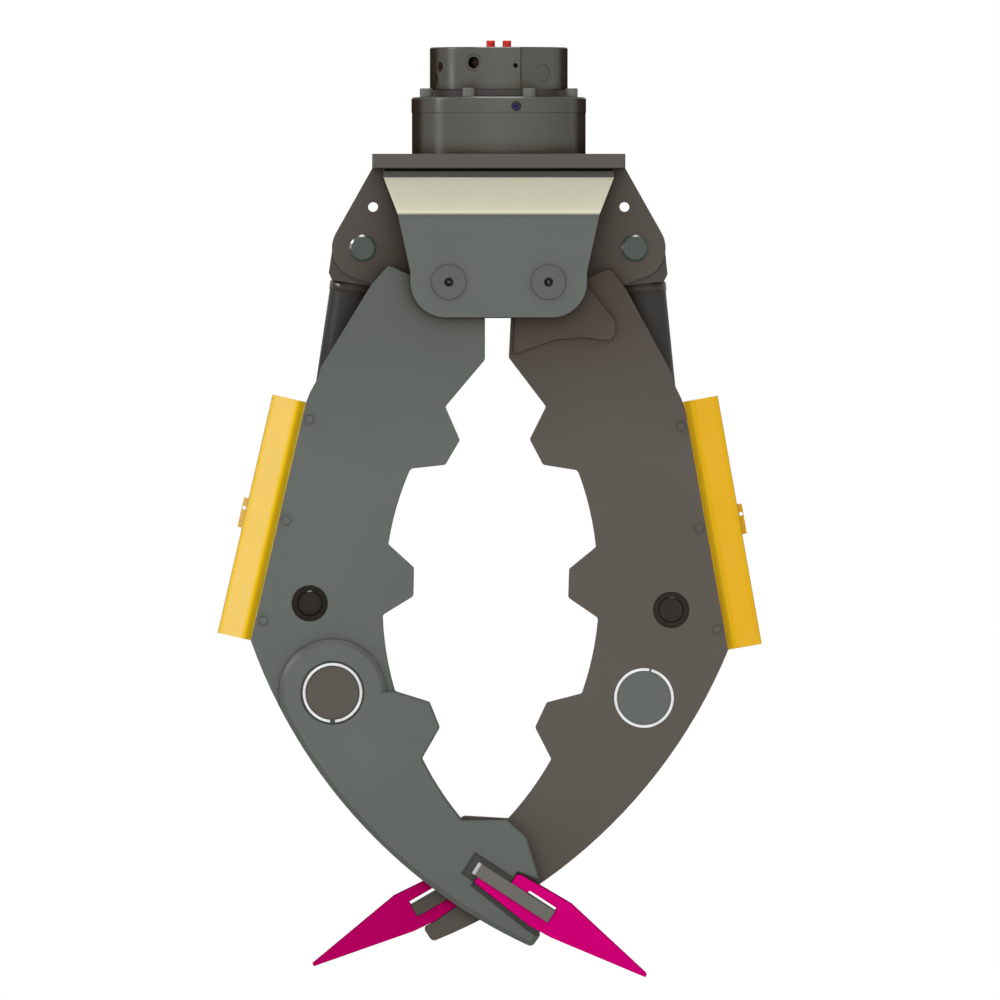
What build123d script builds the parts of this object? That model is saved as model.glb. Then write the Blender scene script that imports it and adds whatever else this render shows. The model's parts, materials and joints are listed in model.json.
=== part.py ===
from build123d import *

import os
from math import atan2, cos, hypot, radians, sin

# Rock grapple on a slewing rotator, millimetres, +Z up.
# The origin is the middle of the rotator's top face, where the machine carries the grapple.
# The arms swing about pins along Y, and the front of the grapple faces -Y.
# Places on an arm are written (outward, up) from its pivot pin, and the same for both arms.

os.makedirs("parts", exist_ok=True)

LEFT = -1
RIGHT = 1
SIDE_NAMES = {LEFT: "left", RIGHT: "right"}

# Clearances
running_clearance = 0.05
seat_clearance = 0.02
hole_clearance = 0.5
end_clearance = 0.3
open_pivot_clearance = 8.0

# Rotator, upper fixed half
manifold_radius = 127.5
manifold_height = 78.0
manifold_edge = 2.0
flat_azimuth = 36.8
flat_depth = 6.0
seam_azimuth = 18.9
seam_width = 2.0
seam_depth = 2.5
mount_circle_radius = 105.0
mount_screw_count = 8
mount_thread_radius = 8.0
mount_thread_depth = 28.0
port_radius = 11.0
port_spot_radius = 16.5
port_spot_depth = 2.0
port_depth = 32.0
main_port_azimuth = -21.9
main_port_drop = 29.0
side_ports = [(-58.4, 36.0), (-66.5, 60.0)]
side_port_radius = 9.0
bleed_azimuth = 14.0
bleed_drop = 34.5
bleed_radius = 4.4
plug_radius = 16.0
plug_offset = 10.9
plug_drop = 48.0
plug_edge = 0.8
cap_spacing = 30.0
cap_depth_place = 48.0
cap_radius = 8.0
cap_height = 12.5
cap_seat_gap = 0.6
cap_seat_depth = 1.5
cap_flare = 1.0
cap_shank_radius = 5.0
cap_shank_length = 10.0

# Rotator shaft, nut and vane motor
neck_height = 14.0
collar_radius = 122.0
collar_clearance = 0.3
spigot_radius = 45.0
spigot_length = 30.0
journal_radius = 60.0
thread_radius = 50.0
nut_radius = 84.0
nut_height = 19.0
rotor_radius = 84.0
motor_height = 62.0
vane_count = 7
vane_thickness = 8.0
vane_depth = 22.0
chamber_radius = 100.0

# Rotator, lower turning half
housing_radius = 161.6
housing_height = 106.0
housing_roof = 20.0
housing_edge = 3.0
housing_step_drop = 29.0
housing_step = 0.9
cavity_radius = 118.0
bearing_wall = 12.0
washer_thickness = 1.5
seal_lip = 1.0
flange_circle_radius = 145.0
flange_screw_count = 8
flange_screw_radius = 8.0
flange_screw_head_radius = 12.0
flange_screw_head_height = 16.0
flange_screw_edge = 1.0
flange_socket_radius = 7.0
flange_socket_depth = 8.0
blue_plug_azimuth = 11.6
blue_plug_drop = 18.0
blue_spot_radius = 9.0
blue_spot_depth = 8.0
blue_plug_radius = 6.0
blue_plug_length = 12.0

# Head: top plate, bent ears, bridge plates and gussets
head_length = 467.5
head_overhang = 10.0
head_thickness = 26.0
head_corner = 5.0
head_hole_radius = 96.0
pivot_spacing = 184.0
pivot_drop = 211.0
ear_face = 170.0
ear_thickness = 20.0
ear_root = 92.0
ear_neck = 17.0
ear_slope_drop = 68.0
ear_below_pivot = 65.0
ear_top_half = 213.0
ear_knee_half = 186.5
ear_pivot_half = 163.0
ear_pivot_rise = 18.0
ear_corner = 65.0
ear_knee_round = 26.0
bridge_inner = 50.0
bridge_thickness = 15.0
bridge_top_half = 234.0
bridge_pivot_radius = 52.0
cylinder_pin_spacing = 503.0
cylinder_pin_rise = 63.5
cylinder_pin_radius = 25.0
cylinder_pin_stand = 4.5
cylinder_pin_chamfer = 4.0
cylinder_pin_boss = 57.0
lifting_hole_spacing = 465.0
lifting_hole_rise = 140.0
lifting_hole_radius = 9.3
gusset_place = 46.0
gusset_thickness = 16.0
gusset_drop = 100.0

# Pivot pins and hubs
pivot_pin_radius = 25.0
pivot_cap_radius = 31.5
pivot_cap_thickness = 6.0
pivot_cap_hole = 8.5
bush_wall = 6.0
hub_radius = 48.0
hub_inner_face = 68.0
hub_outer_face = 148.0

# Arm plates: inner face, thickness and doubler side of each arm
plate_thickness = 25.0
doubler_thickness = 20.0
plate_inner = {LEFT: 120.0, RIGHT: 70.0}
doubler_inner = {LEFT: 145.0, RIGHT: 50.0}
closing_angle = {LEFT: 0.0, RIGHT: 2.9}
pivot_round = 66.5
top_join_angle = 9.0
back_top = (365.8, -662.1)
back_foot = (-153.2, -1227.5)
back_foot_round = 10.0
back_radius = 980.0
claw_nose = 168.0

# Gripping edge from the hub to the claw: (outward, up, corner radius), and the points on its arcs
upper_grip = [(-66.5, -142.0, 10.0), (7.0, -229.0, 6.0), (-20.0, -291.0, 6.0), (7.0, -337.0, 8.0),
              (71.5, -344.0, 10.0)]
upper_arc_middle = (96.5, -412.0)
middle_grip = [(112.5, -484.0, 5.0), (65.0, -527.0, 5.0), (66.0, -580.0, 7.0), (123.0, -615.0, 8.0)]
middle_arc_middle = (116.0, -686.0)
lower_grip = [(100.0, -756.0, 6.0), (36.0, -776.0, 6.0), (17.0, -823.0, 7.0), (50.0, -880.0, 7.0)]
lower_arc_middle = (17.0, -938.0)
claw_crown = [(-24.0, -993.5, 0.0), (-107.0, -993.0, 12.0), (-143.0, -1024.0, 12.0),
              (-claw_nose, -1107.0, 0.0), (-claw_nose, -1207.0, 4.0)]
shoulder_edge = [(264.0, -222.0, 0.0), (256.0, -202.0, 5.0), (241.0, -175.0, 5.0),
                 (237.0, -158.0, 5.0), (143.0, -4.0, 6.0), (112.0, 31.0, 8.0)]

# Pivot doubler on the outer face of each right arm plate
pivot_doubler_thickness = 10.0
pivot_doubler = [(-58.0, 20.0), (40.0, 30.0), (79.0, -11.0), (127.0, -66.0), (128.0, -88.0),
                 (119.0, -102.0), (69.0, -98.0), (18.0, -105.0), (-58.0, -136.0)]

# Cross shaft with circlips
shaft_place = (215.0, -758.0)
shaft_radius = 50.0
circlip_groove = 2.0
circlip_width = 7.0
circlip_thickness = 3.5
circlip_gap = {LEFT: 10.0, RIGHT: 4.0}
circlip_turn = {LEFT: -90.0, RIGHT: 80.0}
shaft_end_stand = 10.0
doubler_round = {LEFT: 99.0, RIGHT: 78.0}
doubler_recess = 59.0
doubler_chamfer = 3.0
doubler_back_bevel = 9.0

# Box webs, rod lugs and rod pin
web_thickness = 12.0
web_top = (35.0, -150.0)
web_bottom = (140.0, -520.0)
bulkhead_thickness = 20.0
bulkhead_drop = 64.0
bulkhead_inner = 135.0
bulkhead_outer = 320.0
rod_pin_place = (257.0, -593.0)
rod_pin_radius = 24.0
rod_access_radius = 33.5
lug_inner = 33.0
lug_thickness = 20.0
lug_radius = 42.0
lug_foot_half = 60.0
rod_pin_stand = 5.0
rod_pin_edge = 3.0

# Cylinder guards
guard_top = {LEFT: (265.5, -221.0), RIGHT: (262.5, -207.0)}
guard_bottom = (367.0, -661.0)
guard_width = 62.0
guard_sheet = 6.0
guard_tuck = 40.0
guard_joggle = 13.0
guard_step = 20.0
joggle_run = 1.0
guard_bend = 9.0
guard_crease = 14.0
guard_bolt_radius = 5.0
guard_bolt_head = 8.3
guard_bolt_head_height = 6.0
guard_nut_height = 8.0
guard_bolt_inset = 15.0
guard_bolt_drops = [30.0, 221.0, 411.0]
guard_lug_drop = {LEFT: 197.0, RIGHT: 204.0}
guard_lug_length = 56.0
guard_lug_stand = 9.0
guard_lug_width = 44.0
guard_lug_hole = 3.5

# Lip bars and teeth, laid out along the bar (a) and below its top face (b)
bar_corner = (-55.0, -1070.0)
bar_slope = 33.0
bar_length = 168.0
bar_thickness = 25.0
bar_width = 65.0
bar_end_bevel = 7.0
tooth_width = 55.0
tooth_tip_width = 40.0
tooth_length = {LEFT: 374.0, RIGHT: 380.0}
tooth_tip_half = 3.0
tooth_tip_middle = {LEFT: 8.4, RIGHT: 5.5}
tooth_shoulder = 187.0
tooth_shoulder_height = {LEFT: 27.1, RIGHT: 30.2}
tooth_shoulder_drop = 45.0
tooth_top_leg = 72.0
tooth_top_leg_height = 22.0
tooth_top_leg_round = 7.0
tooth_low_leg = 14.0
tooth_low_leg_height = 11.0
tooth_belly = 144.0
tooth_belly_height = 23.0
tooth_relief = 107.0
tooth_relief_height = 6.6
notch_clearance = 1.0
notch_border = 9.3
notch_back = 13.5
notch_reach = 210.0

# Cylinders, measured along the axis from the upper pin
eye_half_width = 48.0
block_half = 55.5
block_side = 54.0
block_length = 67.0
block_taper = 8.0
barrel_radius = 49.5
barrel_bore = 37.5
barrel_length = 430.0
barrel_collar = 17.0
barrel_collar_rise = 1.0
barrel_floor = 15.0
port_boss_radius = 14.0
port_boss_height = 9.0
port_bore_radius = 7.0
port_places = (100.0, 386.0)
gland_length = 34.0
gland_flange = 10.0
rod_radius = 22.5
rod_eye_radius = 46.0
rod_eye_width = 60.0
piston_reach = 325.0
piston_length = 40.0
piston_nut = 12.0
piston_groove = 4.0

# Places that follow from the sizes above
manifold_bottom = -manifold_height
housing_top = manifold_bottom - neck_height
housing_bottom = housing_top - housing_height
cavity_top = housing_top - housing_roof
cavity_bottom = cavity_top - motor_height
head_bottom = housing_bottom - head_thickness
head_depth = 2 * (ear_face + head_overhang)
claw_floor = back_foot[1] - claw_nose
pivot_z = head_bottom - pivot_drop
pivot_x = pivot_spacing / 2
cylinder_pin_x = cylinder_pin_spacing / 2
cylinder_pin_z = pivot_z + cylinder_pin_rise
bridge_outer = bridge_inner + bridge_thickness
bearing_radius = journal_radius + bearing_wall
bush_radius = pivot_pin_radius + bush_wall
shaft_face = {LEFT: plate_inner[LEFT] + plate_thickness, RIGHT: plate_inner[RIGHT] + plate_thickness}
bulkhead_top = rod_pin_place[1] - bulkhead_drop


def save(piece, name):
    """Label a finished piece and write it to its own file."""
    piece.part.label = name
    export_step(piece.part, f"parts/{name}.step")


def upright(depth):
    """Plane across the grapple at a depth along Y, x to the right and z up."""
    return Plane.XZ.offset(-depth)


def radial(azimuth, radius, drop):
    """Plane that faces outward on the rotator, turned from the front towards +X."""
    turn = radians(azimuth)
    outward = (sin(turn), -cos(turn), 0.0)
    origin = (radius * outward[0], radius * outward[1], -drop)
    return Plane(origin=origin, x_dir=(cos(turn), sin(turn), 0.0), z_dir=outward)


def arm_plane(side, depth):
    """Plane of one arm about its pivot pin, x outward and y up, at a depth along Y."""
    lean = radians(closing_angle[side])
    return Plane(origin=(side * pivot_x, depth, pivot_z), x_dir=(side * cos(lean), 0.0, -sin(lean)),
                 z_dir=(0.0, -side, 0.0))


def arm_point(side, place, depth=0.0):
    """Place on an arm, given (outward, up) from the pivot, in the grapple's own frame."""
    return arm_plane(side, depth).from_local_coords(Vector(place[0], place[1], 0.0))


def on_bar(along, below):
    """Place on an arm, given along the lip bar and below its top face."""
    slope = radians(bar_slope)
    return (bar_corner[0] - along * cos(slope) + below * sin(slope),
            bar_corner[1] - along * sin(slope) - below * cos(slope))


def front_and_rear(inner, thickness):
    """Middle depths of a front and a rear plate that start at the same distance from the centre."""
    middle = inner + thickness / 2
    return (-middle, middle)


def round_corners(sketch, corners):
    """Round each listed corner of a sketch by its own radius."""
    for across, up, radius in corners:
        if radius > 0:
            fillet(sketch.vertices().sort_by_distance(Vector(across, up, 0.0))[0], radius)


# Rotator, fixed half

def make_manifold():
    with BuildPart() as manifold:
        with BuildSketch(Plane.XY.offset(manifold_bottom)):
            Circle(manifold_radius)
        extrude(amount=manifold_height)
        chamfer(manifold.edges().filter_by(GeomType.CIRCLE).sort_by(Axis.Z)[-1], manifold_edge)
        with BuildSketch(radial(flat_azimuth, manifold_radius - flat_depth, manifold_height / 2)):
            Rectangle(manifold_radius, manifold_height + 2 * manifold_edge)
        extrude(amount=manifold_radius, mode=Mode.SUBTRACT)
        with BuildSketch(radial(seam_azimuth, manifold_radius, manifold_height / 2)):
            Rectangle(seam_width, manifold_height + 2 * manifold_edge)
        extrude(amount=seam_depth, both=True, mode=Mode.SUBTRACT)
        with BuildSketch(Plane.XY):
            with PolarLocations(mount_circle_radius, mount_screw_count):
                Circle(mount_thread_radius)
        extrude(amount=-mount_thread_depth, mode=Mode.SUBTRACT)
        with BuildSketch(Plane.XY):
            with Locations((-cap_spacing / 2, -cap_depth_place), (cap_spacing / 2, -cap_depth_place)):
                Circle(cap_shank_radius + seat_clearance)
        extrude(amount=-mount_thread_depth, mode=Mode.SUBTRACT)
        with BuildSketch(Plane.XY):
            with Locations((-cap_spacing / 2, -cap_depth_place), (cap_spacing / 2, -cap_depth_place)):
                Circle(cap_radius + cap_flare + cap_seat_gap)
        extrude(amount=-cap_seat_depth, mode=Mode.SUBTRACT)
        with BuildSketch(radial(main_port_azimuth, manifold_radius, main_port_drop)):
            Circle(port_spot_radius)
        extrude(amount=-port_spot_depth, both=True, mode=Mode.SUBTRACT)
        with BuildSketch(radial(main_port_azimuth, manifold_radius, main_port_drop)):
            Circle(port_radius)
        extrude(amount=-port_depth, mode=Mode.SUBTRACT)
        for azimuth, drop in side_ports:
            with BuildSketch(radial(azimuth, manifold_radius, drop)):
                Circle(side_port_radius)
            extrude(amount=-port_depth / 2, mode=Mode.SUBTRACT)
        with BuildSketch(radial(bleed_azimuth, manifold_radius, bleed_drop)):
            Circle(bleed_radius)
        extrude(amount=-port_depth / 2, mode=Mode.SUBTRACT)
        with BuildSketch(radial(flat_azimuth, manifold_radius - flat_depth, plug_drop)):
            with Locations((plug_offset, 0.0)):
                Circle(plug_radius + seat_clearance)
        extrude(amount=-port_depth / 3, mode=Mode.SUBTRACT)
        with BuildSketch(Plane.XY.offset(manifold_bottom)):
            Circle(spigot_radius + seat_clearance)
        extrude(amount=spigot_length, mode=Mode.SUBTRACT)
    save(manifold, "rotator_manifold")


def make_shaft():
    with BuildPart() as shaft:
        with BuildSketch(Plane.XY.offset(manifold_bottom)):
            Circle(spigot_radius)
        extrude(amount=spigot_length)
        with BuildSketch(Plane.XY.offset(manifold_bottom)):
            Circle(collar_radius)
        extrude(amount=-(neck_height - collar_clearance))
        with BuildSketch(Plane.XY.offset(manifold_bottom)):
            Circle(journal_radius)
        extrude(amount=-(neck_height + housing_height))
        with BuildSketch(Plane.XY.offset(housing_bottom)):
            Circle(thread_radius)
        extrude(amount=-(nut_height + washer_thickness))
    save(shaft, "rotator_shaft")


def make_rotor():
    with BuildPart() as rotor:
        with BuildSketch(Plane.XY.offset(cavity_bottom + end_clearance)):
            Circle(rotor_radius)
            Circle(journal_radius + seat_clearance, mode=Mode.SUBTRACT)
            with PolarLocations(rotor_radius, vane_count):
                Rectangle(vane_depth, vane_thickness + 2 * running_clearance, mode=Mode.SUBTRACT)
        extrude(amount=motor_height - 2 * end_clearance)
    save(rotor, "rotator_rotor")


def make_vanes():
    vane_root = rotor_radius - vane_depth / 2 + end_clearance
    vane_tip = chamber_radius - running_clearance
    with BuildPart() as vanes:
        with BuildSketch(Plane.XY.offset(cavity_bottom + end_clearance)):
            with PolarLocations((vane_root + vane_tip) / 2, vane_count):
                Rectangle(vane_tip - vane_root - hole_clearance, vane_thickness)
        extrude(amount=motor_height - 2 * end_clearance)
    save(vanes, "rotator_vanes")


def make_shaft_nut():
    with BuildPart() as nut:
        with BuildSketch(Plane.XY.offset(housing_bottom - washer_thickness)):
            RegularPolygon(nut_radius, 6)
            Circle(thread_radius + seat_clearance, mode=Mode.SUBTRACT)
        extrude(amount=-nut_height)
    save(nut, "rotator_shaft_nut")


def make_red_caps():
    with BuildPart() as caps:
        for across in (-cap_spacing / 2, cap_spacing / 2):
            with BuildSketch(Plane.XY.offset(-cap_seat_depth)):
                with Locations((across, -cap_depth_place)):
                    Circle(cap_shank_radius)
            extrude(amount=-cap_shank_length)
            with BuildSketch(Plane.XY.offset(-cap_seat_depth)):
                with Locations((across, -cap_depth_place)):
                    Circle(cap_radius)
            extrude(amount=cap_seat_depth + cap_height)
            with BuildSketch(Plane.XY.offset(-cap_seat_depth)):
                with Locations((across, -cap_depth_place)):
                    Circle(cap_radius + cap_flare)
            extrude(amount=cap_seat_depth + cap_flare)
        chamfer(caps.edges().filter_by(GeomType.CIRCLE).group_by(Axis.Z)[-1], cap_flare)
    save(caps, "red_port_caps")


def make_port_plugs():
    with BuildPart() as plugs:
        with BuildSketch(radial(flat_azimuth, manifold_radius - flat_depth, plug_drop)):
            with Locations((plug_offset, 0.0)):
                Circle(plug_radius)
        extrude(amount=-port_depth / 3)
        chamfer(plugs.edges().filter_by(GeomType.CIRCLE), plug_edge)
        for azimuth, drop in side_ports:
            with BuildSketch(radial(azimuth, manifold_radius - port_depth / 2, drop)):
                Circle(side_port_radius - seat_clearance)
            extrude(amount=port_depth / 4)
    save(plugs, "rotator_port_plugs")


# Rotator, turning half

def make_housing():
    with BuildPart() as housing:
        with BuildSketch(Plane.XY.offset(housing_bottom)):
            Circle(housing_radius)
        extrude(amount=housing_height)
        chamfer(housing.edges().filter_by(GeomType.CIRCLE).sort_by(Axis.Z)[-1], housing_edge)
        with BuildSketch(Plane.XY.offset(housing_bottom)):
            Circle(cavity_radius)
        extrude(amount=housing_height - housing_roof, mode=Mode.SUBTRACT)
        with BuildSketch(Plane.XY.offset(housing_top)):
            Circle(bearing_radius + seat_clearance)
        extrude(amount=-housing_roof, mode=Mode.SUBTRACT)
        with BuildSketch(Plane.XY.offset(housing_top - housing_step_drop)):
            Circle(housing_radius + housing_step)
            Circle(housing_radius - housing_step, mode=Mode.SUBTRACT)
        extrude(amount=-housing_height, mode=Mode.SUBTRACT)
        with BuildSketch(Plane.XY.offset(housing_top)):
            with PolarLocations(flange_circle_radius, flange_screw_count, 180 / flange_screw_count):
                Circle(flange_screw_radius + hole_clearance)
        extrude(amount=-housing_height, mode=Mode.SUBTRACT)
        with BuildSketch(radial(blue_plug_azimuth, housing_radius, -housing_top + blue_plug_drop)):
            Circle(blue_plug_radius + seat_clearance)
        extrude(amount=-(blue_plug_length + blue_spot_depth), mode=Mode.SUBTRACT)
        with BuildSketch(radial(blue_plug_azimuth, housing_radius, -housing_top + blue_plug_drop)):
            Circle(blue_spot_radius)
        extrude(amount=blue_spot_depth, both=True, mode=Mode.SUBTRACT)
    save(housing, "rotator_housing")


def make_cam_ring():
    with BuildPart() as ring:
        with BuildSketch(Plane.XY.offset(cavity_bottom)):
            Circle(cavity_radius - seat_clearance)
            Circle(chamber_radius, mode=Mode.SUBTRACT)
        extrude(amount=motor_height)
    save(ring, "rotator_motor_ring")


def make_end_cover():
    with BuildPart() as cover:
        with BuildSketch(Plane.XY.offset(housing_bottom)):
            Circle(cavity_radius - seat_clearance)
            Circle(bearing_radius + seat_clearance, mode=Mode.SUBTRACT)
        extrude(amount=cavity_bottom - housing_bottom)
    save(cover, "rotator_end_cover")


def make_bearings():
    with BuildPart() as bearings:
        for bottom, height in ((housing_bottom, cavity_bottom - housing_bottom),
                               (cavity_top, housing_roof - seal_lip)):
            with BuildSketch(Plane.XY.offset(bottom)):
                Circle(bearing_radius)
                Circle(journal_radius + running_clearance, mode=Mode.SUBTRACT)
            extrude(amount=height)
        with BuildSketch(Plane.XY.offset(housing_bottom - washer_thickness + end_clearance)):
            Circle(bearing_radius)
            Circle(thread_radius + running_clearance, mode=Mode.SUBTRACT)
        extrude(amount=washer_thickness - 2 * end_clearance)
    save(bearings, "rotator_bearings")


def make_blue_plug():
    with BuildPart() as plug:
        with BuildSketch(radial(blue_plug_azimuth, housing_radius - blue_spot_depth,
                                -housing_top + blue_plug_drop)):
            Circle(blue_plug_radius)
        extrude(amount=-blue_plug_length)
        with BuildSketch(radial(blue_plug_azimuth, housing_radius - blue_spot_depth,
                                -housing_top + blue_plug_drop)):
            RegularPolygon(blue_plug_radius / 2, 6)
        extrude(amount=-blue_plug_length / 2, mode=Mode.SUBTRACT)
    save(plug, "blue_port_plug")


def make_flange_screws():
    first = 180 / flange_screw_count
    with BuildPart() as screws:
        with BuildSketch(Plane.XY.offset(housing_top)):
            with PolarLocations(flange_circle_radius, flange_screw_count, first):
                Circle(flange_screw_head_radius)
        extrude(amount=flange_screw_head_height)
        chamfer(screws.edges().filter_by(GeomType.CIRCLE).group_by(Axis.Z)[-1], flange_screw_edge)
        with BuildSketch(Plane.XY.offset(housing_top)):
            with PolarLocations(flange_circle_radius, flange_screw_count, first):
                Circle(flange_screw_radius)
        extrude(amount=-(housing_height + head_thickness))
        with BuildSketch(Plane.XY.offset(housing_top + flange_screw_head_height)):
            with PolarLocations(flange_circle_radius, flange_screw_count, first):
                RegularPolygon(flange_socket_radius, 6)
        extrude(amount=-flange_socket_depth, mode=Mode.SUBTRACT)
    save(screws, "rotator_flange_screws")


# Head

def make_head_plate():
    with BuildPart() as plate:
        with BuildSketch(Plane.XY.offset(head_bottom)):
            RectangleRounded(head_length, head_depth, head_corner)
            Circle(head_hole_radius, mode=Mode.SUBTRACT)
            with PolarLocations(flange_circle_radius, flange_screw_count, 180 / flange_screw_count):
                Circle(flange_screw_radius + seat_clearance, mode=Mode.SUBTRACT)
        extrude(amount=head_thickness)
    save(plate, "head_plate")


def make_ear(facing, name):
    """Bent ear plate: a short upright root, a slope outward and the upright cheek with both pivots."""
    knee_top = head_bottom - ear_neck
    knee_bottom = knee_top - ear_slope_drop
    foot = pivot_z - ear_below_pivot
    slant = atan2(ear_slope_drop, ear_face - ear_root)
    shift = ear_thickness / sin(slant) * (1 - cos(slant))
    outer = [(ear_root, head_bottom), (ear_root, knee_top), (ear_face, knee_bottom), (ear_face, foot)]
    inner = [(ear_face - ear_thickness, foot), (ear_face - ear_thickness, knee_bottom - shift),
             (ear_root - ear_thickness, knee_top - shift), (ear_root - ear_thickness, head_bottom)]
    section = [(facing * depth, height) for depth, height in outer + inner]
    with BuildPart() as ear:
        with BuildSketch(Plane.YZ) as profile:
            with BuildLine():
                Polyline(section, close=True)
            make_face()
            knee = Vector(facing * ear_face, knee_bottom, 0.0)
            fillet(profile.vertices().sort_by_distance(knee)[0], ear_knee_round)
        extrude(amount=ear_top_half, both=True)
        with BuildSketch(Plane.XZ) as outline:
            with BuildLine():
                right_half = [(ear_top_half, head_bottom), (ear_top_half, knee_top),
                              (ear_knee_half, knee_bottom),
                              (ear_pivot_half, pivot_z + ear_pivot_rise), (ear_pivot_half, foot)]
                left_half = [(-across, up) for across, up in reversed(right_half)]
                Polyline(right_half + left_half, close=True)
            make_face()
            for across in (-ear_pivot_half, ear_pivot_half):
                fillet(outline.vertices().sort_by_distance(Vector(across, foot, 0.0))[0], ear_corner)
        extrude(amount=ear_face + ear_thickness, both=True, mode=Mode.INTERSECT)
        with BuildSketch(Plane.XZ):
            with Locations((-pivot_x, pivot_z), (pivot_x, pivot_z)):
                Circle(pivot_pin_radius + seat_clearance)
        extrude(amount=ear_face + ear_thickness, both=True, mode=Mode.SUBTRACT)
    save(ear, name)


def make_bridge_plate(facing, name):
    """Plate behind the arms that carries both cylinder pins and the middle of both pivot pins."""
    with BuildPart() as bridge:
        with BuildSketch(upright(facing * (bridge_inner + bridge_thickness / 2))):
            with Locations((0.0, head_bottom - head_corner / 2)):
                Rectangle(2 * bridge_top_half, head_corner)
            with Locations((-cylinder_pin_x, cylinder_pin_z), (cylinder_pin_x, cylinder_pin_z)):
                Circle(cylinder_pin_boss)
            with Locations((-pivot_x, pivot_z), (pivot_x, pivot_z)):
                Circle(bridge_pivot_radius)
            make_hull()
            with Locations((-cylinder_pin_x, cylinder_pin_z), (cylinder_pin_x, cylinder_pin_z)):
                Circle(cylinder_pin_radius + seat_clearance, mode=Mode.SUBTRACT)
            with Locations((-pivot_x, pivot_z), (pivot_x, pivot_z)):
                Circle(pivot_pin_radius + seat_clearance, mode=Mode.SUBTRACT)
            with Locations((-lifting_hole_spacing / 2, pivot_z + lifting_hole_rise),
                           (lifting_hole_spacing / 2, pivot_z + lifting_hole_rise)):
                Circle(lifting_hole_radius, mode=Mode.SUBTRACT)
        extrude(amount=bridge_thickness / 2, both=True)
    save(bridge, name)


def make_gussets():
    """Four upright ribs between the bridge plates and the ears, under the head plate."""
    knee_top = head_bottom - ear_neck
    knee_bottom = knee_top - ear_slope_drop
    slant = atan2(ear_slope_drop, ear_face - ear_root)
    shift = ear_thickness / sin(slant) * (1 - cos(slant))
    rib = [(bridge_outer, head_bottom), (ear_root - ear_thickness, head_bottom),
           (ear_root - ear_thickness, knee_top - shift), (ear_face - ear_thickness, knee_bottom - shift),
           (ear_face - ear_thickness, head_bottom - gusset_drop), (bridge_outer, head_bottom - gusset_drop)]
    with BuildPart() as gussets:
        for across in (-gusset_place, gusset_place):
            for facing in (-1, 1):
                with BuildSketch(Plane.YZ.offset(across)):
                    with BuildLine():
                        Polyline([(facing * depth, height) for depth, height in rib], close=True)
                    make_face()
                extrude(amount=gusset_thickness / 2, both=True)
    save(gussets, "head_gussets")


def make_pivot_pins():
    with BuildPart() as pins:
        with BuildSketch(Plane.XZ):
            with Locations((-pivot_x, pivot_z), (pivot_x, pivot_z)):
                Circle(pivot_pin_radius)
        extrude(amount=ear_face, both=True)
        for facing in (-1, 1):
            with BuildSketch(upright(facing * ear_face)):
                with Locations((-pivot_x, pivot_z), (pivot_x, pivot_z)):
                    Circle(pivot_cap_hole)
            extrude(amount=facing * 2 * ear_thickness, mode=Mode.SUBTRACT)
    save(pins, "pivot_pins")


def make_pivot_caps():
    with BuildPart() as caps:
        for facing in (-1, 1):
            with BuildSketch(upright(facing * ear_face)):
                with Locations((-pivot_x, pivot_z), (pivot_x, pivot_z)):
                    Circle(pivot_cap_radius)
                    Circle(pivot_cap_hole, mode=Mode.SUBTRACT)
            extrude(amount=-facing * pivot_cap_thickness)
    save(caps, "pivot_caps")


def make_cylinder_pins():
    with BuildPart() as pins:
        with BuildSketch(Plane.XZ):
            with Locations((-cylinder_pin_x, cylinder_pin_z), (cylinder_pin_x, cylinder_pin_z)):
                Circle(cylinder_pin_radius)
        extrude(amount=bridge_outer + cylinder_pin_stand, both=True)
        chamfer(pins.edges().filter_by(GeomType.CIRCLE), cylinder_pin_chamfer)
    save(pins, "cylinder_pins")


# Arms

def draw_arm_face():
    """Outline of an arm plate: hub, gripping edge, claw, round back and shoulder, with no holes."""
    join = radians(top_join_angle)
    hub_start = (pivot_round * cos(join), pivot_round * sin(join))
    hub_top = (-pivot_round * sin(radians(45)), pivot_round * cos(radians(45)))
    hub_end = (-pivot_round, 0.0)
    upper = [(across, up) for across, up, radius in upper_grip]
    middle = [(across, up) for across, up, radius in middle_grip]
    lower = [(across, up) for across, up, radius in lower_grip]
    crown = [(across, up) for across, up, radius in claw_crown]
    shoulder = [(across, up) for across, up, radius in shoulder_edge]
    with BuildSketch() as face:
        with BuildLine():
            ThreePointArc(hub_start, hub_top, hub_end)
            Polyline([hub_end] + upper)
            ThreePointArc(upper[-1], upper_arc_middle, middle[0])
            Polyline(middle)
            ThreePointArc(middle[-1], middle_arc_middle, lower[0])
            Polyline(lower)
            ThreePointArc(lower[-1], lower_arc_middle, crown[0])
            Polyline(crown + [back_foot])
            RadiusArc(back_foot, back_top, -back_radius)
            Polyline([back_top] + shoulder + [hub_start])
        make_face()
        round_corners(face, upper_grip + middle_grip + lower_grip + claw_crown + shoulder_edge)
        round_corners(face, [(back_foot[0], back_foot[1], back_foot_round)])
    return face.sketch


def draw_notch(border, back, finger_drop):
    """Opening in the claw for the lip bar and the tooth's two legs, wider by a border."""
    top_leg = tooth_top_leg - notch_clearance
    leg_top = -tooth_top_leg_height - notch_clearance
    belly = bar_thickness + tooth_belly_height + notch_clearance + finger_drop
    low_start = bar_thickness + tooth_low_leg_height + notch_clearance + finger_drop
    corners = [(-back, -border), (top_leg, -border), (top_leg, leg_top),
               (tooth_belly - bar_thickness, leg_top - border / 2 - tooth_relief_height),
               (notch_reach, leg_top - border), (notch_reach, belly), (tooth_belly, belly),
               (tooth_low_leg - notch_clearance, low_start),
               (tooth_low_leg - notch_clearance, bar_thickness + border),
               (-back, bar_thickness + border)]
    with BuildSketch() as notch:
        with BuildLine():
            Polyline([on_bar(along, below) for along, below in corners], close=True)
        make_face()
    return notch.sketch


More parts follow.
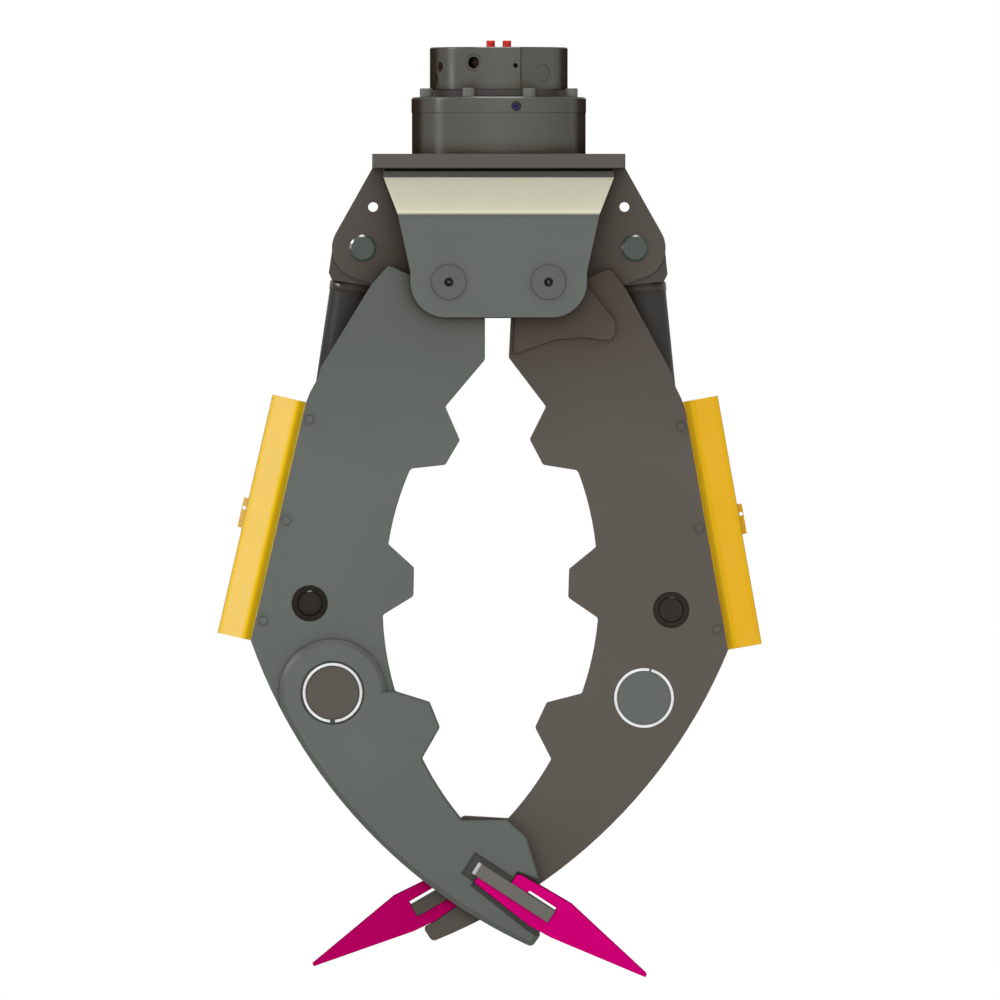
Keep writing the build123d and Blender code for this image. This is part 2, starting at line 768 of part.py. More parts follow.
def make_side_plate(side, facing, face, notch, bolts):
    depth = facing * (plate_inner[side] + plate_thickness / 2)
    with BuildPart() as plate:
        with BuildSketch(arm_plane(side, depth)):
            add(face)
            add(notch, mode=Mode.SUBTRACT)
            Circle(hub_radius + seat_clearance, mode=Mode.SUBTRACT)
            with Locations(rod_pin_place):
                Circle(rod_access_radius, mode=Mode.SUBTRACT)
            with Locations(shaft_place):
                Circle(shaft_radius + seat_clearance, mode=Mode.SUBTRACT)
            with Locations(bolts):
                Circle(guard_bolt_radius + hole_clearance, mode=Mode.SUBTRACT)
        extrude(amount=plate_thickness / 2, both=True)
    place = "front" if facing < 0 else "rear"
    save(plate, f"{SIDE_NAMES[side]}_{place}_side_plate")


def split_rim(face):
    """Longest edge of a face's rim, and the edges of the rim that are clear of its bevel."""
    edges = face.outer_wire().edges().sort_by(SortBy.LENGTH)
    longest = edges[-1]
    apart = [edge for edge in edges[:-1] if edge.distance_to(longest) > doubler_back_bevel]
    return longest, apart


def make_claw_doublers(side, face, notch):
    """Second plate on each claw, from the cross shaft down to the finger."""
    bore = doubler_recess if side == LEFT else shaft_radius + seat_clearance
    free_face = doubler_inner[side] + (doubler_thickness if side == LEFT else 0.0)
    claw_z = pivot_z + shaft_place[1]
    inner_end = (lower_grip[0][0], lower_grip[0][1])
    radius = doubler_round[side]
    outer_end = (shaft_place[0] + radius, shaft_place[1] - radius / 2)
    with BuildSketch() as reach:
        with BuildLine():
            Polyline([outer_end, shaft_place, inner_end, (-3 * radius, inner_end[1]),
                      (-3 * radius, claw_floor), (outer_end[0] + 2 * radius, claw_floor),
                      (outer_end[0] + 2 * radius, outer_end[1] - radius)], close=True)
        make_face()
        with Locations(shaft_place):
            Circle(radius)
    with BuildPart() as doublers:
        for depth in front_and_rear(doubler_inner[side], doubler_thickness):
            with BuildSketch(arm_plane(side, depth)):
                add(face)
                add(notch, mode=Mode.SUBTRACT)
                add(reach.sketch, mode=Mode.INTERSECT)
                with Locations(shaft_place):
                    Circle(bore, mode=Mode.SUBTRACT)
            extrude(amount=doubler_thickness / 2, both=True)
        for facing in (-1, 1):
            claw = (0.0, facing * free_face, claw_z)
            rim = doublers.faces().filter_by(Axis.Y).sort_by_distance(claw)[0]
            chamfer(split_rim(rim)[0], doubler_back_bevel)
            rim = doublers.faces().filter_by(Axis.Y).sort_by_distance(claw)[0]
            chamfer(split_rim(rim)[1], doubler_chamfer)
    save(doublers, f"{SIDE_NAMES[side]}_claw_doublers")


def make_hubs(side):
    """Hub tubes through the arm plates, with the doubler that stiffens the right arm's pivots."""
    with BuildPart() as hubs:
        for depth in front_and_rear(hub_inner_face, hub_outer_face - hub_inner_face):
            with BuildSketch(arm_plane(side, depth)):
                Circle(hub_radius)
                Circle(bush_radius + seat_clearance, mode=Mode.SUBTRACT)
            extrude(amount=(hub_outer_face - hub_inner_face) / 2, both=True)
        if side == RIGHT:
            for depth in front_and_rear(shaft_face[RIGHT], pivot_doubler_thickness):
                with BuildSketch(arm_plane(side, depth)):
                    with BuildLine():
                        Polyline(pivot_doubler, close=True)
                    make_face()
                    Circle(bush_radius + seat_clearance, mode=Mode.SUBTRACT)
                extrude(amount=pivot_doubler_thickness / 2, both=True)
    save(hubs, f"{SIDE_NAMES[side]}_hubs")


def make_hub_bushes(side):
    length = hub_outer_face - hub_inner_face - 2 * end_clearance
    with BuildPart() as bushes:
        for depth in front_and_rear(hub_inner_face, hub_outer_face - hub_inner_face):
            with BuildSketch(arm_plane(side, depth)):
                Circle(bush_radius)
                Circle(pivot_pin_radius + running_clearance, mode=Mode.SUBTRACT)
            extrude(amount=length / 2, both=True)
    save(bushes, f"{SIDE_NAMES[side]}_hub_bushes")


def make_cross_shaft(side):
    """Round bar through both plates, with a groove for a circlip at each end."""
    half = shaft_face[side] + shaft_end_stand
    with BuildPart() as shaft:
        with BuildSketch(arm_plane(side, 0.0)):
            with Locations(shaft_place):
                Circle(shaft_radius)
        extrude(amount=half, both=True)
        chamfer(shaft.edges().filter_by(GeomType.CIRCLE), circlip_groove)
        for depth in front_and_rear(shaft_face[side], circlip_thickness + end_clearance):
            with BuildSketch(arm_plane(side, depth)):
                with Locations(shaft_place):
                    Circle(shaft_radius + circlip_groove)
                    Circle(shaft_radius - circlip_groove, mode=Mode.SUBTRACT)
            extrude(amount=(circlip_thickness + end_clearance) / 2, both=True, mode=Mode.SUBTRACT)
    save(shaft, f"{SIDE_NAMES[side]}_cross_shaft")


def make_circlips(side):
    reach = shaft_radius + 2 * circlip_width
    half_gap = radians(circlip_gap[side] / 2)
    wedge = [(0.0, 0.0), (reach, -reach * half_gap), (reach, reach * half_gap)]
    with BuildPart() as circlips:
        for depth in front_and_rear(shaft_face[side] + end_clearance / 2, circlip_thickness):
            with BuildSketch(arm_plane(side, depth)):
                with Locations(shaft_place):
                    Circle(shaft_radius - circlip_groove + circlip_width)
                    Circle(shaft_radius - circlip_groove + seat_clearance, mode=Mode.SUBTRACT)
                with Locations(Location((shaft_place[0], shaft_place[1], 0.0),
                                        (0.0, 0.0, circlip_turn[side]))):
                    Polygon(*wedge, align=None, mode=Mode.SUBTRACT)
            extrude(amount=circlip_thickness / 2, both=True)
    save(circlips, f"{SIDE_NAMES[side]}_circlips")


def make_box_webs(side):
    """Sloping web behind the gripping edge and the bulkhead that carries the rod lugs."""
    run = (web_bottom[0] - web_top[0], web_bottom[1] - web_top[1])
    length = hypot(*run)
    across = (run[1] / length * web_thickness / 2, -run[0] / length * web_thickness / 2)
    web = [(web_top[0] + across[0], web_top[1] + across[1]),
           (web_bottom[0] + across[0], web_bottom[1] + across[1]),
           (web_bottom[0] - across[0], web_bottom[1] - across[1]),
           (web_top[0] - across[0], web_top[1] - across[1])]
    with BuildPart() as webs:
        with BuildSketch(arm_plane(side, 0.0)):
            with BuildLine():
                Polyline(web, close=True)
            make_face()
            with Locations(((bulkhead_inner + bulkhead_outer) / 2, bulkhead_top - bulkhead_thickness / 2)):
                Rectangle(bulkhead_outer - bulkhead_inner, bulkhead_thickness)
        extrude(amount=plate_inner[side], both=True)
    save(webs, f"{SIDE_NAMES[side]}_box_webs")


def make_rod_lugs(side):
    with BuildPart() as lugs:
        for depth in front_and_rear(lug_inner, lug_thickness):
            with BuildSketch(arm_plane(side, depth)):
                with Locations(rod_pin_place):
                    Circle(lug_radius)
                with Locations((rod_pin_place[0], bulkhead_top + lug_thickness / 4)):
                    Rectangle(2 * lug_foot_half, lug_thickness / 2)
                make_hull()
                with Locations(rod_pin_place):
                    Circle(rod_pin_radius + seat_clearance, mode=Mode.SUBTRACT)
            extrude(amount=lug_thickness / 2, both=True)
    save(lugs, f"{SIDE_NAMES[side]}_rod_lugs")


def make_rod_pin(side):
    with BuildPart() as pin:
        with BuildSketch(arm_plane(side, 0.0)):
            with Locations(rod_pin_place):
                Circle(rod_pin_radius)
        extrude(amount=lug_inner + lug_thickness + rod_pin_stand, both=True)
        chamfer(pin.edges().filter_by(GeomType.CIRCLE), rod_pin_edge)
    save(pin, f"{SIDE_NAMES[side]}_rod_pin")


def guard_line(side):
    """Length and unit direction of the arm edge that the guard follows."""
    run = (guard_bottom[0] - guard_top[side][0], guard_bottom[1] - guard_top[side][1])
    length = hypot(*run)
    return length, (run[0] / length, run[1] / length)


def guard_place(side, drop, out):
    """Place on an arm, a distance down the guard's edge and a distance out from it."""
    way = guard_line(side)[1]
    return (guard_top[side][0] + way[0] * drop - way[1] * out,
            guard_top[side][1] + way[1] * drop + way[0] * out)


def guard_bolt_places(side):
    """Guard bolts, at the same height on both arms whatever the guard's own length."""
    extra = guard_line(side)[0] - guard_line(LEFT)[0]
    return [guard_place(side, drop + extra, -guard_bolt_inset) for drop in guard_bolt_drops]


def make_guard(side):
    """Pressed channel over the cylinder: a flat back, two cheeks and stepped edges inside the plates."""
    length, way = guard_line(side)
    plane = arm_plane(side, 0.0)
    start = arm_point(side, guard_top[side])
    down = plane.x_dir * way[0] + plane.y_dir * way[1]
    out = plane.x_dir * -way[1] + plane.y_dir * way[0]
    tucked = plate_inner[side]
    proud = tucked + guard_step
    outer = [(-guard_tuck, tucked), (end_clearance, tucked), (guard_joggle, proud), (guard_width, proud)]
    inner = [(guard_width - guard_sheet, proud - guard_sheet),
             (guard_joggle + joggle_run, proud - guard_sheet),
             (end_clearance + joggle_run, tucked - guard_sheet), (-guard_tuck, tucked - guard_sheet)]
    rear_half = [(across, -depth) for across, depth in reversed(outer)]
    rear_inner = [(across, -depth) for across, depth in reversed(inner)]
    with BuildPart() as guard:
        with BuildSketch(Plane(origin=start, x_dir=out, z_dir=down)) as section:
            with BuildLine():
                Polyline(outer + rear_half + rear_inner + inner, close=True)
            make_face()
            for depth in (-proud, proud):
                fillet(section.vertices().sort_by_distance(Vector(guard_width, depth, 0.0))[0], guard_bend)
                crease = Vector(guard_joggle, depth, 0.0)
                fillet(section.vertices().sort_by_distance(crease)[0], guard_crease)
        extrude(amount=length)
        with BuildSketch(plane):
            with Locations(guard_bolt_places(side)):
                Circle(guard_bolt_radius + hole_clearance)
        extrude(amount=proud, both=True, mode=Mode.SUBTRACT)
        lug_start = arm_point(side, guard_place(side, guard_lug_drop[side], guard_width))
        with BuildSketch(Plane(origin=lug_start, x_dir=down, z_dir=out)):
            with Locations((guard_lug_length / 2, 0.0)):
                Rectangle(guard_lug_length, guard_lug_width)
        extrude(amount=guard_lug_stand)
        hole_drop = guard_lug_drop[side] + guard_lug_length / 3
        hole = guard_place(side, hole_drop, guard_width + guard_lug_stand / 2)
        with BuildSketch(plane):
            with Locations(hole):
                Circle(guard_lug_hole)
        extrude(amount=guard_lug_width, both=True, mode=Mode.SUBTRACT)
    save(guard, f"{SIDE_NAMES[side]}_guard")


def make_guard_bolts(side):
    outer_face = plate_inner[side] + plate_thickness
    nut_face = plate_inner[side] - guard_sheet
    with BuildPart() as bolts:
        for facing in (-1, 1):
            with BuildSketch(arm_plane(side, facing * (outer_face + guard_bolt_head_height / 2))):
                with Locations(guard_bolt_places(side)):
                    RegularPolygon(guard_bolt_head, 6)
            extrude(amount=guard_bolt_head_height / 2, both=True)
            middle = (outer_face + nut_face - guard_nut_height) / 2
            with BuildSketch(arm_plane(side, facing * middle)):
                with Locations(guard_bolt_places(side)):
                    Circle(guard_bolt_radius)
            extrude(amount=outer_face - middle, both=True)
            with BuildSketch(arm_plane(side, facing * (nut_face - guard_nut_height / 2))):
                with Locations(guard_bolt_places(side)):
                    RegularPolygon(guard_bolt_head, 6)
            extrude(amount=guard_nut_height / 2, both=True)
    save(bolts, f"{SIDE_NAMES[side]}_guard_bolts")


def claw_middle(side):
    """Middle depth of a claw, which is its plate and doubler together."""
    low = min(plate_inner[side], doubler_inner[side])
    return low + (plate_thickness + doubler_thickness) / 2


def make_lip_bars(side):
    corners = [on_bar(0.0, 0.0), on_bar(bar_length, 0.0), on_bar(bar_length, bar_thickness),
               on_bar(0.0, bar_thickness)]
    with BuildPart() as bars:
        for facing in (-1, 1):
            with BuildSketch(arm_plane(side, facing * claw_middle(side))):
                with BuildLine():
                    Polyline(corners, close=True)
                make_face()
            extrude(amount=bar_width / 2, both=True)
            outer_face = facing * (claw_middle(side) + bar_width / 2)
            end = arm_point(side, on_bar(0.0, bar_thickness / 2), outer_face)
            chamfer(bars.edges().sort_by_distance(end)[0], bar_end_bevel)
    save(bars, f"{SIDE_NAMES[side]}_lip_bars")


def make_teeth(side):
    """Forked teeth: a short upper leg and a long lower leg grip the lip bar."""
    length = tooth_length[side]
    tip_middle = tooth_tip_middle[side]
    outline = [(tooth_top_leg, -tooth_top_leg_height), (tooth_shoulder, -tooth_shoulder_height[side]),
               (length, tip_middle - tooth_tip_half), (length, tip_middle + tooth_tip_half),
               (tooth_shoulder, tooth_shoulder_drop), (tooth_belly, bar_thickness + tooth_belly_height),
               (tooth_low_leg, bar_thickness + tooth_low_leg_height), (tooth_low_leg, bar_thickness),
               (bar_length + end_clearance, bar_thickness),
               (bar_length + end_clearance, -tooth_relief_height),
               (tooth_relief, -tooth_relief_height), (tooth_relief, 0.0), (tooth_top_leg, 0.0)]
    plane = arm_plane(side, 0.0)
    slope = radians(bar_slope)
    along = plane.x_dir * -cos(slope) + plane.y_dir * -sin(slope)
    below = plane.x_dir * sin(slope) + plane.y_dir * -cos(slope)
    start = arm_point(side, on_bar(0.0, tip_middle))
    leg_corner = on_bar(tooth_top_leg, -tooth_top_leg_height)
    with BuildPart() as teeth:
        for facing in (-1, 1):
            with BuildSketch(arm_plane(side, facing * claw_middle(side))) as profile:
                with BuildLine():
                    Polyline([on_bar(a, b) for a, b in outline], close=True)
                make_face()
                round_corners(profile, [(leg_corner[0], leg_corner[1], tooth_top_leg_round)])
            extrude(amount=tooth_width / 2, both=True)
        with BuildSketch(Plane(origin=start, x_dir=along, z_dir=below)):
            for facing in (-1, 1):
                middle = facing * claw_middle(side)
                half = tooth_width / 2
                tip = tooth_tip_width / 2
                with BuildLine():
                    Polyline([(0.0, middle - half), (tooth_shoulder, middle - half),
                              (length, middle - tip), (length, middle + tip),
                              (tooth_shoulder, middle + half), (0.0, middle + half)], close=True)
                make_face()
        extrude(amount=length, both=True, mode=Mode.INTERSECT)
    save(teeth, f"{SIDE_NAMES[side]}_teeth")


# Cylinders

def cylinder_axis(side):
    """Upper pin's place and the unit direction from it to the rod pin."""
    start = Vector(side * cylinder_pin_x, 0.0, cylinder_pin_z)
    return start, arm_point(side, rod_pin_place) - start


def cylinder_plane(side, distance):
    """Plane across the cylinder's axis at a distance from the upper pin."""
    start, reach = cylinder_axis(side)
    way = reach.normalized()
    return Plane(origin=start + way * distance, x_dir=(0.0, 1.0, 0.0), z_dir=way)


def cylinder_side_plane(side, distance):
    """Plane along the cylinder's axis through the pins, x down the axis, normal to Y."""
    start, reach = cylinder_axis(side)
    way = reach.normalized()
    return Plane(origin=start + way * distance, x_dir=way, z_dir=(0.0, -side, 0.0))


def make_cylinder_base(side):
    outline = [(0.0, block_half), (block_side, block_half), (block_length, block_half - block_taper),
               (block_length, -block_half + block_taper), (block_side, -block_half), (0.0, -block_half)]
    with BuildPart() as base:
        with BuildSketch(cylinder_side_plane(side, 0.0)):
            with BuildLine():
                Polyline(outline)
                ThreePointArc((0.0, -block_half), (-block_half, 0.0), (0.0, block_half))
            make_face()
            Circle(cylinder_pin_radius + running_clearance, mode=Mode.SUBTRACT)
        extrude(amount=eye_half_width, both=True)
    save(base, f"{SIDE_NAMES[side]}_cylinder_base")


def make_barrel(side):
    with BuildPart() as barrel:
        with BuildSketch(cylinder_plane(side, block_length)):
            Circle(barrel_radius)
        extrude(amount=barrel_length - block_length)
        with BuildSketch(cylinder_plane(side, block_length)):
            Circle(barrel_radius + barrel_collar_rise)
        extrude(amount=barrel_collar)
        start, reach = cylinder_axis(side)
        way = reach.normalized()
        for distance in port_places:
            with BuildSketch(Plane(origin=start + way * distance, x_dir=way, z_dir=(0.0, 1.0, 0.0))):
                Circle(port_boss_radius)
            extrude(amount=barrel_radius + port_boss_height)
        with BuildSketch(cylinder_plane(side, block_length + barrel_floor)):
            Circle(barrel_bore)
        extrude(amount=barrel_length - block_length - barrel_floor, mode=Mode.SUBTRACT)
        for distance in port_places:
            with BuildSketch(Plane(origin=start + way * distance, x_dir=way, z_dir=(0.0, 1.0, 0.0))):
                Circle(port_bore_radius)
            extrude(amount=barrel_radius + 2 * port_boss_height, mode=Mode.SUBTRACT)
    save(barrel, f"{SIDE_NAMES[side]}_cylinder_barrel")


def make_gland(side):
    with BuildPart() as gland:
        with BuildSketch(cylinder_plane(side, barrel_length - gland_length)):
            Circle(barrel_bore - seat_clearance)
        extrude(amount=gland_length)
        with BuildSketch(cylinder_plane(side, barrel_length)):
            Circle(barrel_radius)
        extrude(amount=gland_flange)
        with BuildSketch(cylinder_plane(side, barrel_length - gland_length)):
            Circle(rod_radius + running_clearance)
        extrude(amount=gland_length + gland_flange, mode=Mode.SUBTRACT)
    save(gland, f"{SIDE_NAMES[side]}_cylinder_gland")


def make_rod(side):
    """Rod with its eye. The eye's bore is wide, because the linkage is opened at this pivot."""
    reach = cylinder_axis(side)[1].length
    with BuildPart() as rod:
        with BuildSketch(cylinder_plane(side, reach - piston_reach)):
            Circle(rod_radius)
        extrude(amount=piston_reach)
        with BuildSketch(cylinder_side_plane(side, reach)):
            Circle(rod_eye_radius)
        extrude(amount=rod_eye_width / 2, both=True)
        with BuildSketch(cylinder_side_plane(side, reach)):
            Circle(rod_pin_radius + open_pivot_clearance)
        extrude(amount=rod_eye_width, both=True, mode=Mode.SUBTRACT)
    save(rod, f"{SIDE_NAMES[side]}_cylinder_rod")


def make_piston(side):
    """Piston with seal grooves, screwed on the rod's end."""
    reach = cylinder_axis(side)[1].length
    end = reach - piston_reach
    with BuildPart() as piston:
        with BuildSketch(cylinder_plane(side, end - piston_nut)):
            Circle(barrel_bore - running_clearance)
        extrude(amount=piston_length)
        for distance in (piston_groove, piston_length - 2 * piston_groove):
            with BuildSketch(cylinder_plane(side, end - piston_nut + distance)):
                Circle(barrel_bore)
                Circle(barrel_bore - piston_groove, mode=Mode.SUBTRACT)
            extrude(amount=piston_groove, mode=Mode.SUBTRACT)
        with BuildSketch(cylinder_plane(side, end)):
            Circle(rod_radius + seat_clearance)
        extrude(amount=piston_length, mode=Mode.SUBTRACT)
    save(piston, f"{SIDE_NAMES[side]}_cylinder_piston")


make_manifold()
make_shaft()
make_rotor()
make_vanes()
make_shaft_nut()
make_red_caps()
make_port_plugs()
make_housing()
make_cam_ring()
make_end_cover()
make_bearings()
make_blue_plug()
make_flange_screws()
make_head_plate()
make_ear(-1, "front_ear")
make_ear(1, "rear_ear")
make_bridge_plate(-1, "front_bridge_plate")
make_bridge_plate(1, "rear_bridge_plate")
make_gussets()
make_pivot_pins()
make_pivot_caps()
make_cylinder_pins()

arm_face = draw_arm_face()
plate_notch = draw_notch(0.0, 0.0, 0.0)
doubler_notch = draw_notch(notch_border, notch_back, tooth_relief_height)
for arm_side in (LEFT, RIGHT):
    bolt_places = guard_bolt_places(arm_side)
    make_side_plate(arm_side, -1, arm_face, plate_notch, bolt_places)
    make_side_plate(arm_side, 1, arm_face, plate_notch, bolt_places)
    make_claw_doublers(arm_side, arm_face, doubler_notch)
    make_hubs(arm_side)
    make_hub_bushes(arm_side)
    make_cross_shaft(arm_side)
    make_circlips(arm_side)
    make_box_webs(arm_side)
    make_rod_lugs(arm_side)
    make_rod_pin(arm_side)
    make_guard(arm_side)
    make_guard_bolts(arm_side)
    make_lip_bars(arm_side)
    make_teeth(arm_side)
    make_cylinder_base(arm_side)
    make_barrel(arm_side)
    make_gland(arm_side)
    make_rod(arm_side)
    make_piston(arm_side)
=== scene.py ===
import json
import math

import bpy
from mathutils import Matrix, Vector


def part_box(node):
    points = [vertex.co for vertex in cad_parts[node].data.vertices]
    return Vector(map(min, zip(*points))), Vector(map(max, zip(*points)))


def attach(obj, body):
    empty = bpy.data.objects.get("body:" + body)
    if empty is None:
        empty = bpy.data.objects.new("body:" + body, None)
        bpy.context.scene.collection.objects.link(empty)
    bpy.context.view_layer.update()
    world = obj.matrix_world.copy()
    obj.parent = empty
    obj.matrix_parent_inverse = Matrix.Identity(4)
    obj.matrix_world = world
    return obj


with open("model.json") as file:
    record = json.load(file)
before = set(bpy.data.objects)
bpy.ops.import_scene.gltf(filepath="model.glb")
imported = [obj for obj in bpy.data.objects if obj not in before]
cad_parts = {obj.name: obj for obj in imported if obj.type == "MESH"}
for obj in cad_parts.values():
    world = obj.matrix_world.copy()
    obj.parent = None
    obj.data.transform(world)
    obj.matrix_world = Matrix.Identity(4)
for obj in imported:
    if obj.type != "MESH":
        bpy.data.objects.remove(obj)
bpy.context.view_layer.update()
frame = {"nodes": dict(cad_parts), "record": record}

NODES = frame["nodes"]
MOUNTS = frame["record"]["mounts"]
JOINTS = frame["record"]["behaviour"]["joints"]
SIDES = {"left": -1.0, "right": 1.0}
FACINGS = {"front": -1.0, "rear": 1.0}

# Camera: a straight front view at 1.85 mm to the pixel, from so far away that it has no perspective
VIEW_CENTRE_X = 0.0023
VIEW_CENTRE_Z = -0.8371
VIEW_WIDTH = 1.85
VIEW_LENS = 1500.0
SENSOR_WIDTH = 36.0

# Floor: pale, and in the camera's view mixed with white, from FLOOR_GLOW under the object to all of it
FLOOR_Z = -2.05
FLOOR_HALF = 2.6
FLOOR_FADE = (0.8, 2.4)
FLOOR_GLOW = 0.62
FLOOR_SHADES = ((236, 236, 234), (240, 240, 238))
WHITE = (1.0, 1.0, 1.0, 1.0)

# Light from all round: dim and warm at the sides, with soft lights over it. Each soft light has the axis that
# it comes along, where on that axis it starts and is full, its strength and its tint.
SIDE_TINT = (1.0, 0.60, 0.36, 1.0)
SIDE_LIGHT = 0.11
SOFT_LIGHTS = [
    ("Y", -0.90, -1.0, 8.1, (0.98, 1.0, 1.0, 1.0)),
    ("Y", 0.80, 1.0, 3.6, (1.0, 0.98, 0.95, 1.0)),
    ("Z", 0.50, 0.98, 0.45, (0.98, 0.99, 1.0, 1.0)),
]

# Lamps that show only as glints: name, place, target, length, width and power in watts
GLINT_LAMPS = [
    ("top", (0.0, -0.1, 3.6), (0.0, -0.1, -0.2), 2.4, 0.9, 420.0),
    ("upper_left", (-7.0, -0.1, 3.6), (0.0, 0.0, -0.8), 2.4, 2.0, 1300.0),
    ("left_strip", (-4.0, -0.35, 0.1), (0.0, 0.0, -0.2), 0.35, 0.6, 40.0),
]

# Paint. A pair holds the value at which an effect starts and the one at which it is full.
NOISE_MIDDLE = (0.3, 0.7)
EDGE_SOFTNESS = 0.0025
EDGE_RANGE = (0.995, 0.85)
SPECK_RANGE = (0.62, 0.80)
SPECK_SHARE = 0.25
RUB_RANGE = (0.42, 0.68)
# Painted shade in corners and towards the top: how far it looks for corners, its range, its brown tint and
# where it thins or starts by height
SHADE_REACH = 0.20
ROTATOR_SHADE_REACH = 0.03
CORNER_SHADE_RANGE = (1.0, 0.35)
SHADE_SHARES = (0.34, 0.22, 0.13, 1.0)
CORNER_SHADE_HEIGHTS = (-0.80, -0.50)
CORNER_SHADE_LOW = 0.45
TOP_SHADE_HEIGHTS = (-0.76, -0.50)
# Painted dark brown reflection down the rotator's left and right walls
SIDE_REFLECTION_SPAN = (0.72, 0.83)
SIDE_REFLECTION_WALLS = (0.6, 0.2)
SIDE_REFLECTION_SHARE = 0.70
SIDE_REFLECTION_COLOUR = (62, 45, 33)
# Painted highlight: pale cream where the ears' face slopes up
LIT_SLOPE_RANGE = (0.38, 0.60)
# Painted light on the guards' bends, kept off the outer web
GUARD_WEB = (0.10, 0.30)
PALE_BEND_LIGHT = (0.97, 0.80)
DEEP_BEND_LIGHT = (0.80, 0.55)
PLUG_SPLIT = (-0.01, 0.01)

# Round pieces and weld beads
ROUND_STEPS = 48
BEAD_RADIUS = 0.0045
EAR_BEAD_RADIUS = 0.0062
HUB_BEAD_RADIUS = 0.003
BEAD_PITCH = 0.006
BEAD_STEP = 0.0015
BEAD_SIDES = 8

# Threads
THREAD_HEIGHT = 0.0008
THREAD_FILL = 0.9
PORT_PITCHES = {"main_port": 0.002, "bleed_port": 0.00125}
PORT_THREAD_START = 0.002
PORT_THREAD_DEPTH = 0.016
BOLT_PITCH = 0.0025
BOLT_THREAD_START = 0.001
BOLT_THREAD_DEPTH = 0.022

# Places on the head, in metres, that the frame's boxes and joints don't give
EAR_ROOT = (0.072, 0.092)
EAR_ROOT_HALF = 0.2115
BRIDGE_FACES = (0.050, 0.065)
GUSSET_PLACE = 0.046
GUSSET_HALF = 0.008
GUSSET_TOP_GAP = 0.006
NIPPLE_INSET = 0.040
NIPPLE_PROFILE = [(0.0035, 0.0), (0.0035, 0.030), (0.002, 0.032), (0.0028, 0.034), (0.0028, 0.036),
                  (0.0015, 0.037)]

# Places on the arms: outward and up from the pivot, before the arm is turned by its closing angle in degrees
CLOSING_ANGLE = {"left": 0.0, "right": 2.9}
PLATE_INNER = {"left": 0.120, "right": 0.070}
HUB_FACE = {"left": 0.145, "right": 0.105}
HUB_RADIUS = 0.048
WEB_TOP = (0.035, -0.150)
WEB_BOTTOM = (0.140, -0.520)
WEB_HALF = 0.006
BULKHEAD_REACH = (0.135, 0.320)
BULKHEAD_TOP = -0.657
BULKHEAD_DEPTH = 0.020
LUG_FACES = (0.033, 0.053)
LUG_FOOT = (0.197, 0.317)

# Places on the cylinders, along the axis from the cylinder pin. A profile holds (radius, height) pairs.
BARREL_START = 0.067
BARREL_END = 0.440
BARREL_RADIUS = 0.0495
BAND_WIDTH = 0.017
BAND_EDGE = 0.0015
ROD_RADIUS = 0.0225
WIPER_PROFILE = [(ROD_RADIUS + 0.0006, -0.002), (ROD_RADIUS + 0.006, -0.002), (ROD_RADIUS + 0.006, 0.001),
                 (ROD_RADIUS + 0.003, 0.004), (ROD_RADIUS + 0.0006, 0.004)]
PORT_PLACES = (0.100, 0.386)
PORT_FACE = 0.0585
PORT_NECK = 0.0066
WASHER_PROFILE = [(PORT_NECK, -0.006), (PORT_NECK, 0.0), (0.011, 0.0), (0.011, 0.0015)]
PLUG_PROFILE = [(0.0085, 0.0015), (0.0095, 0.0025), (0.0095, 0.0070), (0.0085, 0.0085)]
PLUG_SIDES = 6


def srgb(red, green, blue):
    """Linear colour, with alpha, of an 8-bit screen colour."""
    linear = []
    for value in (red, green, blue):
        part = value / 255
        linear.append(part / 12.92 if part <= 0.04045 else ((part + 0.055) / 1.055) ** 2.4)
    return (*linear, 1.0)


def scaled(colour, factor):
    """The same colour, lighter or darker."""
    return tuple(min(1.0, part * factor) for part in colour[:3]) + (1.0,)


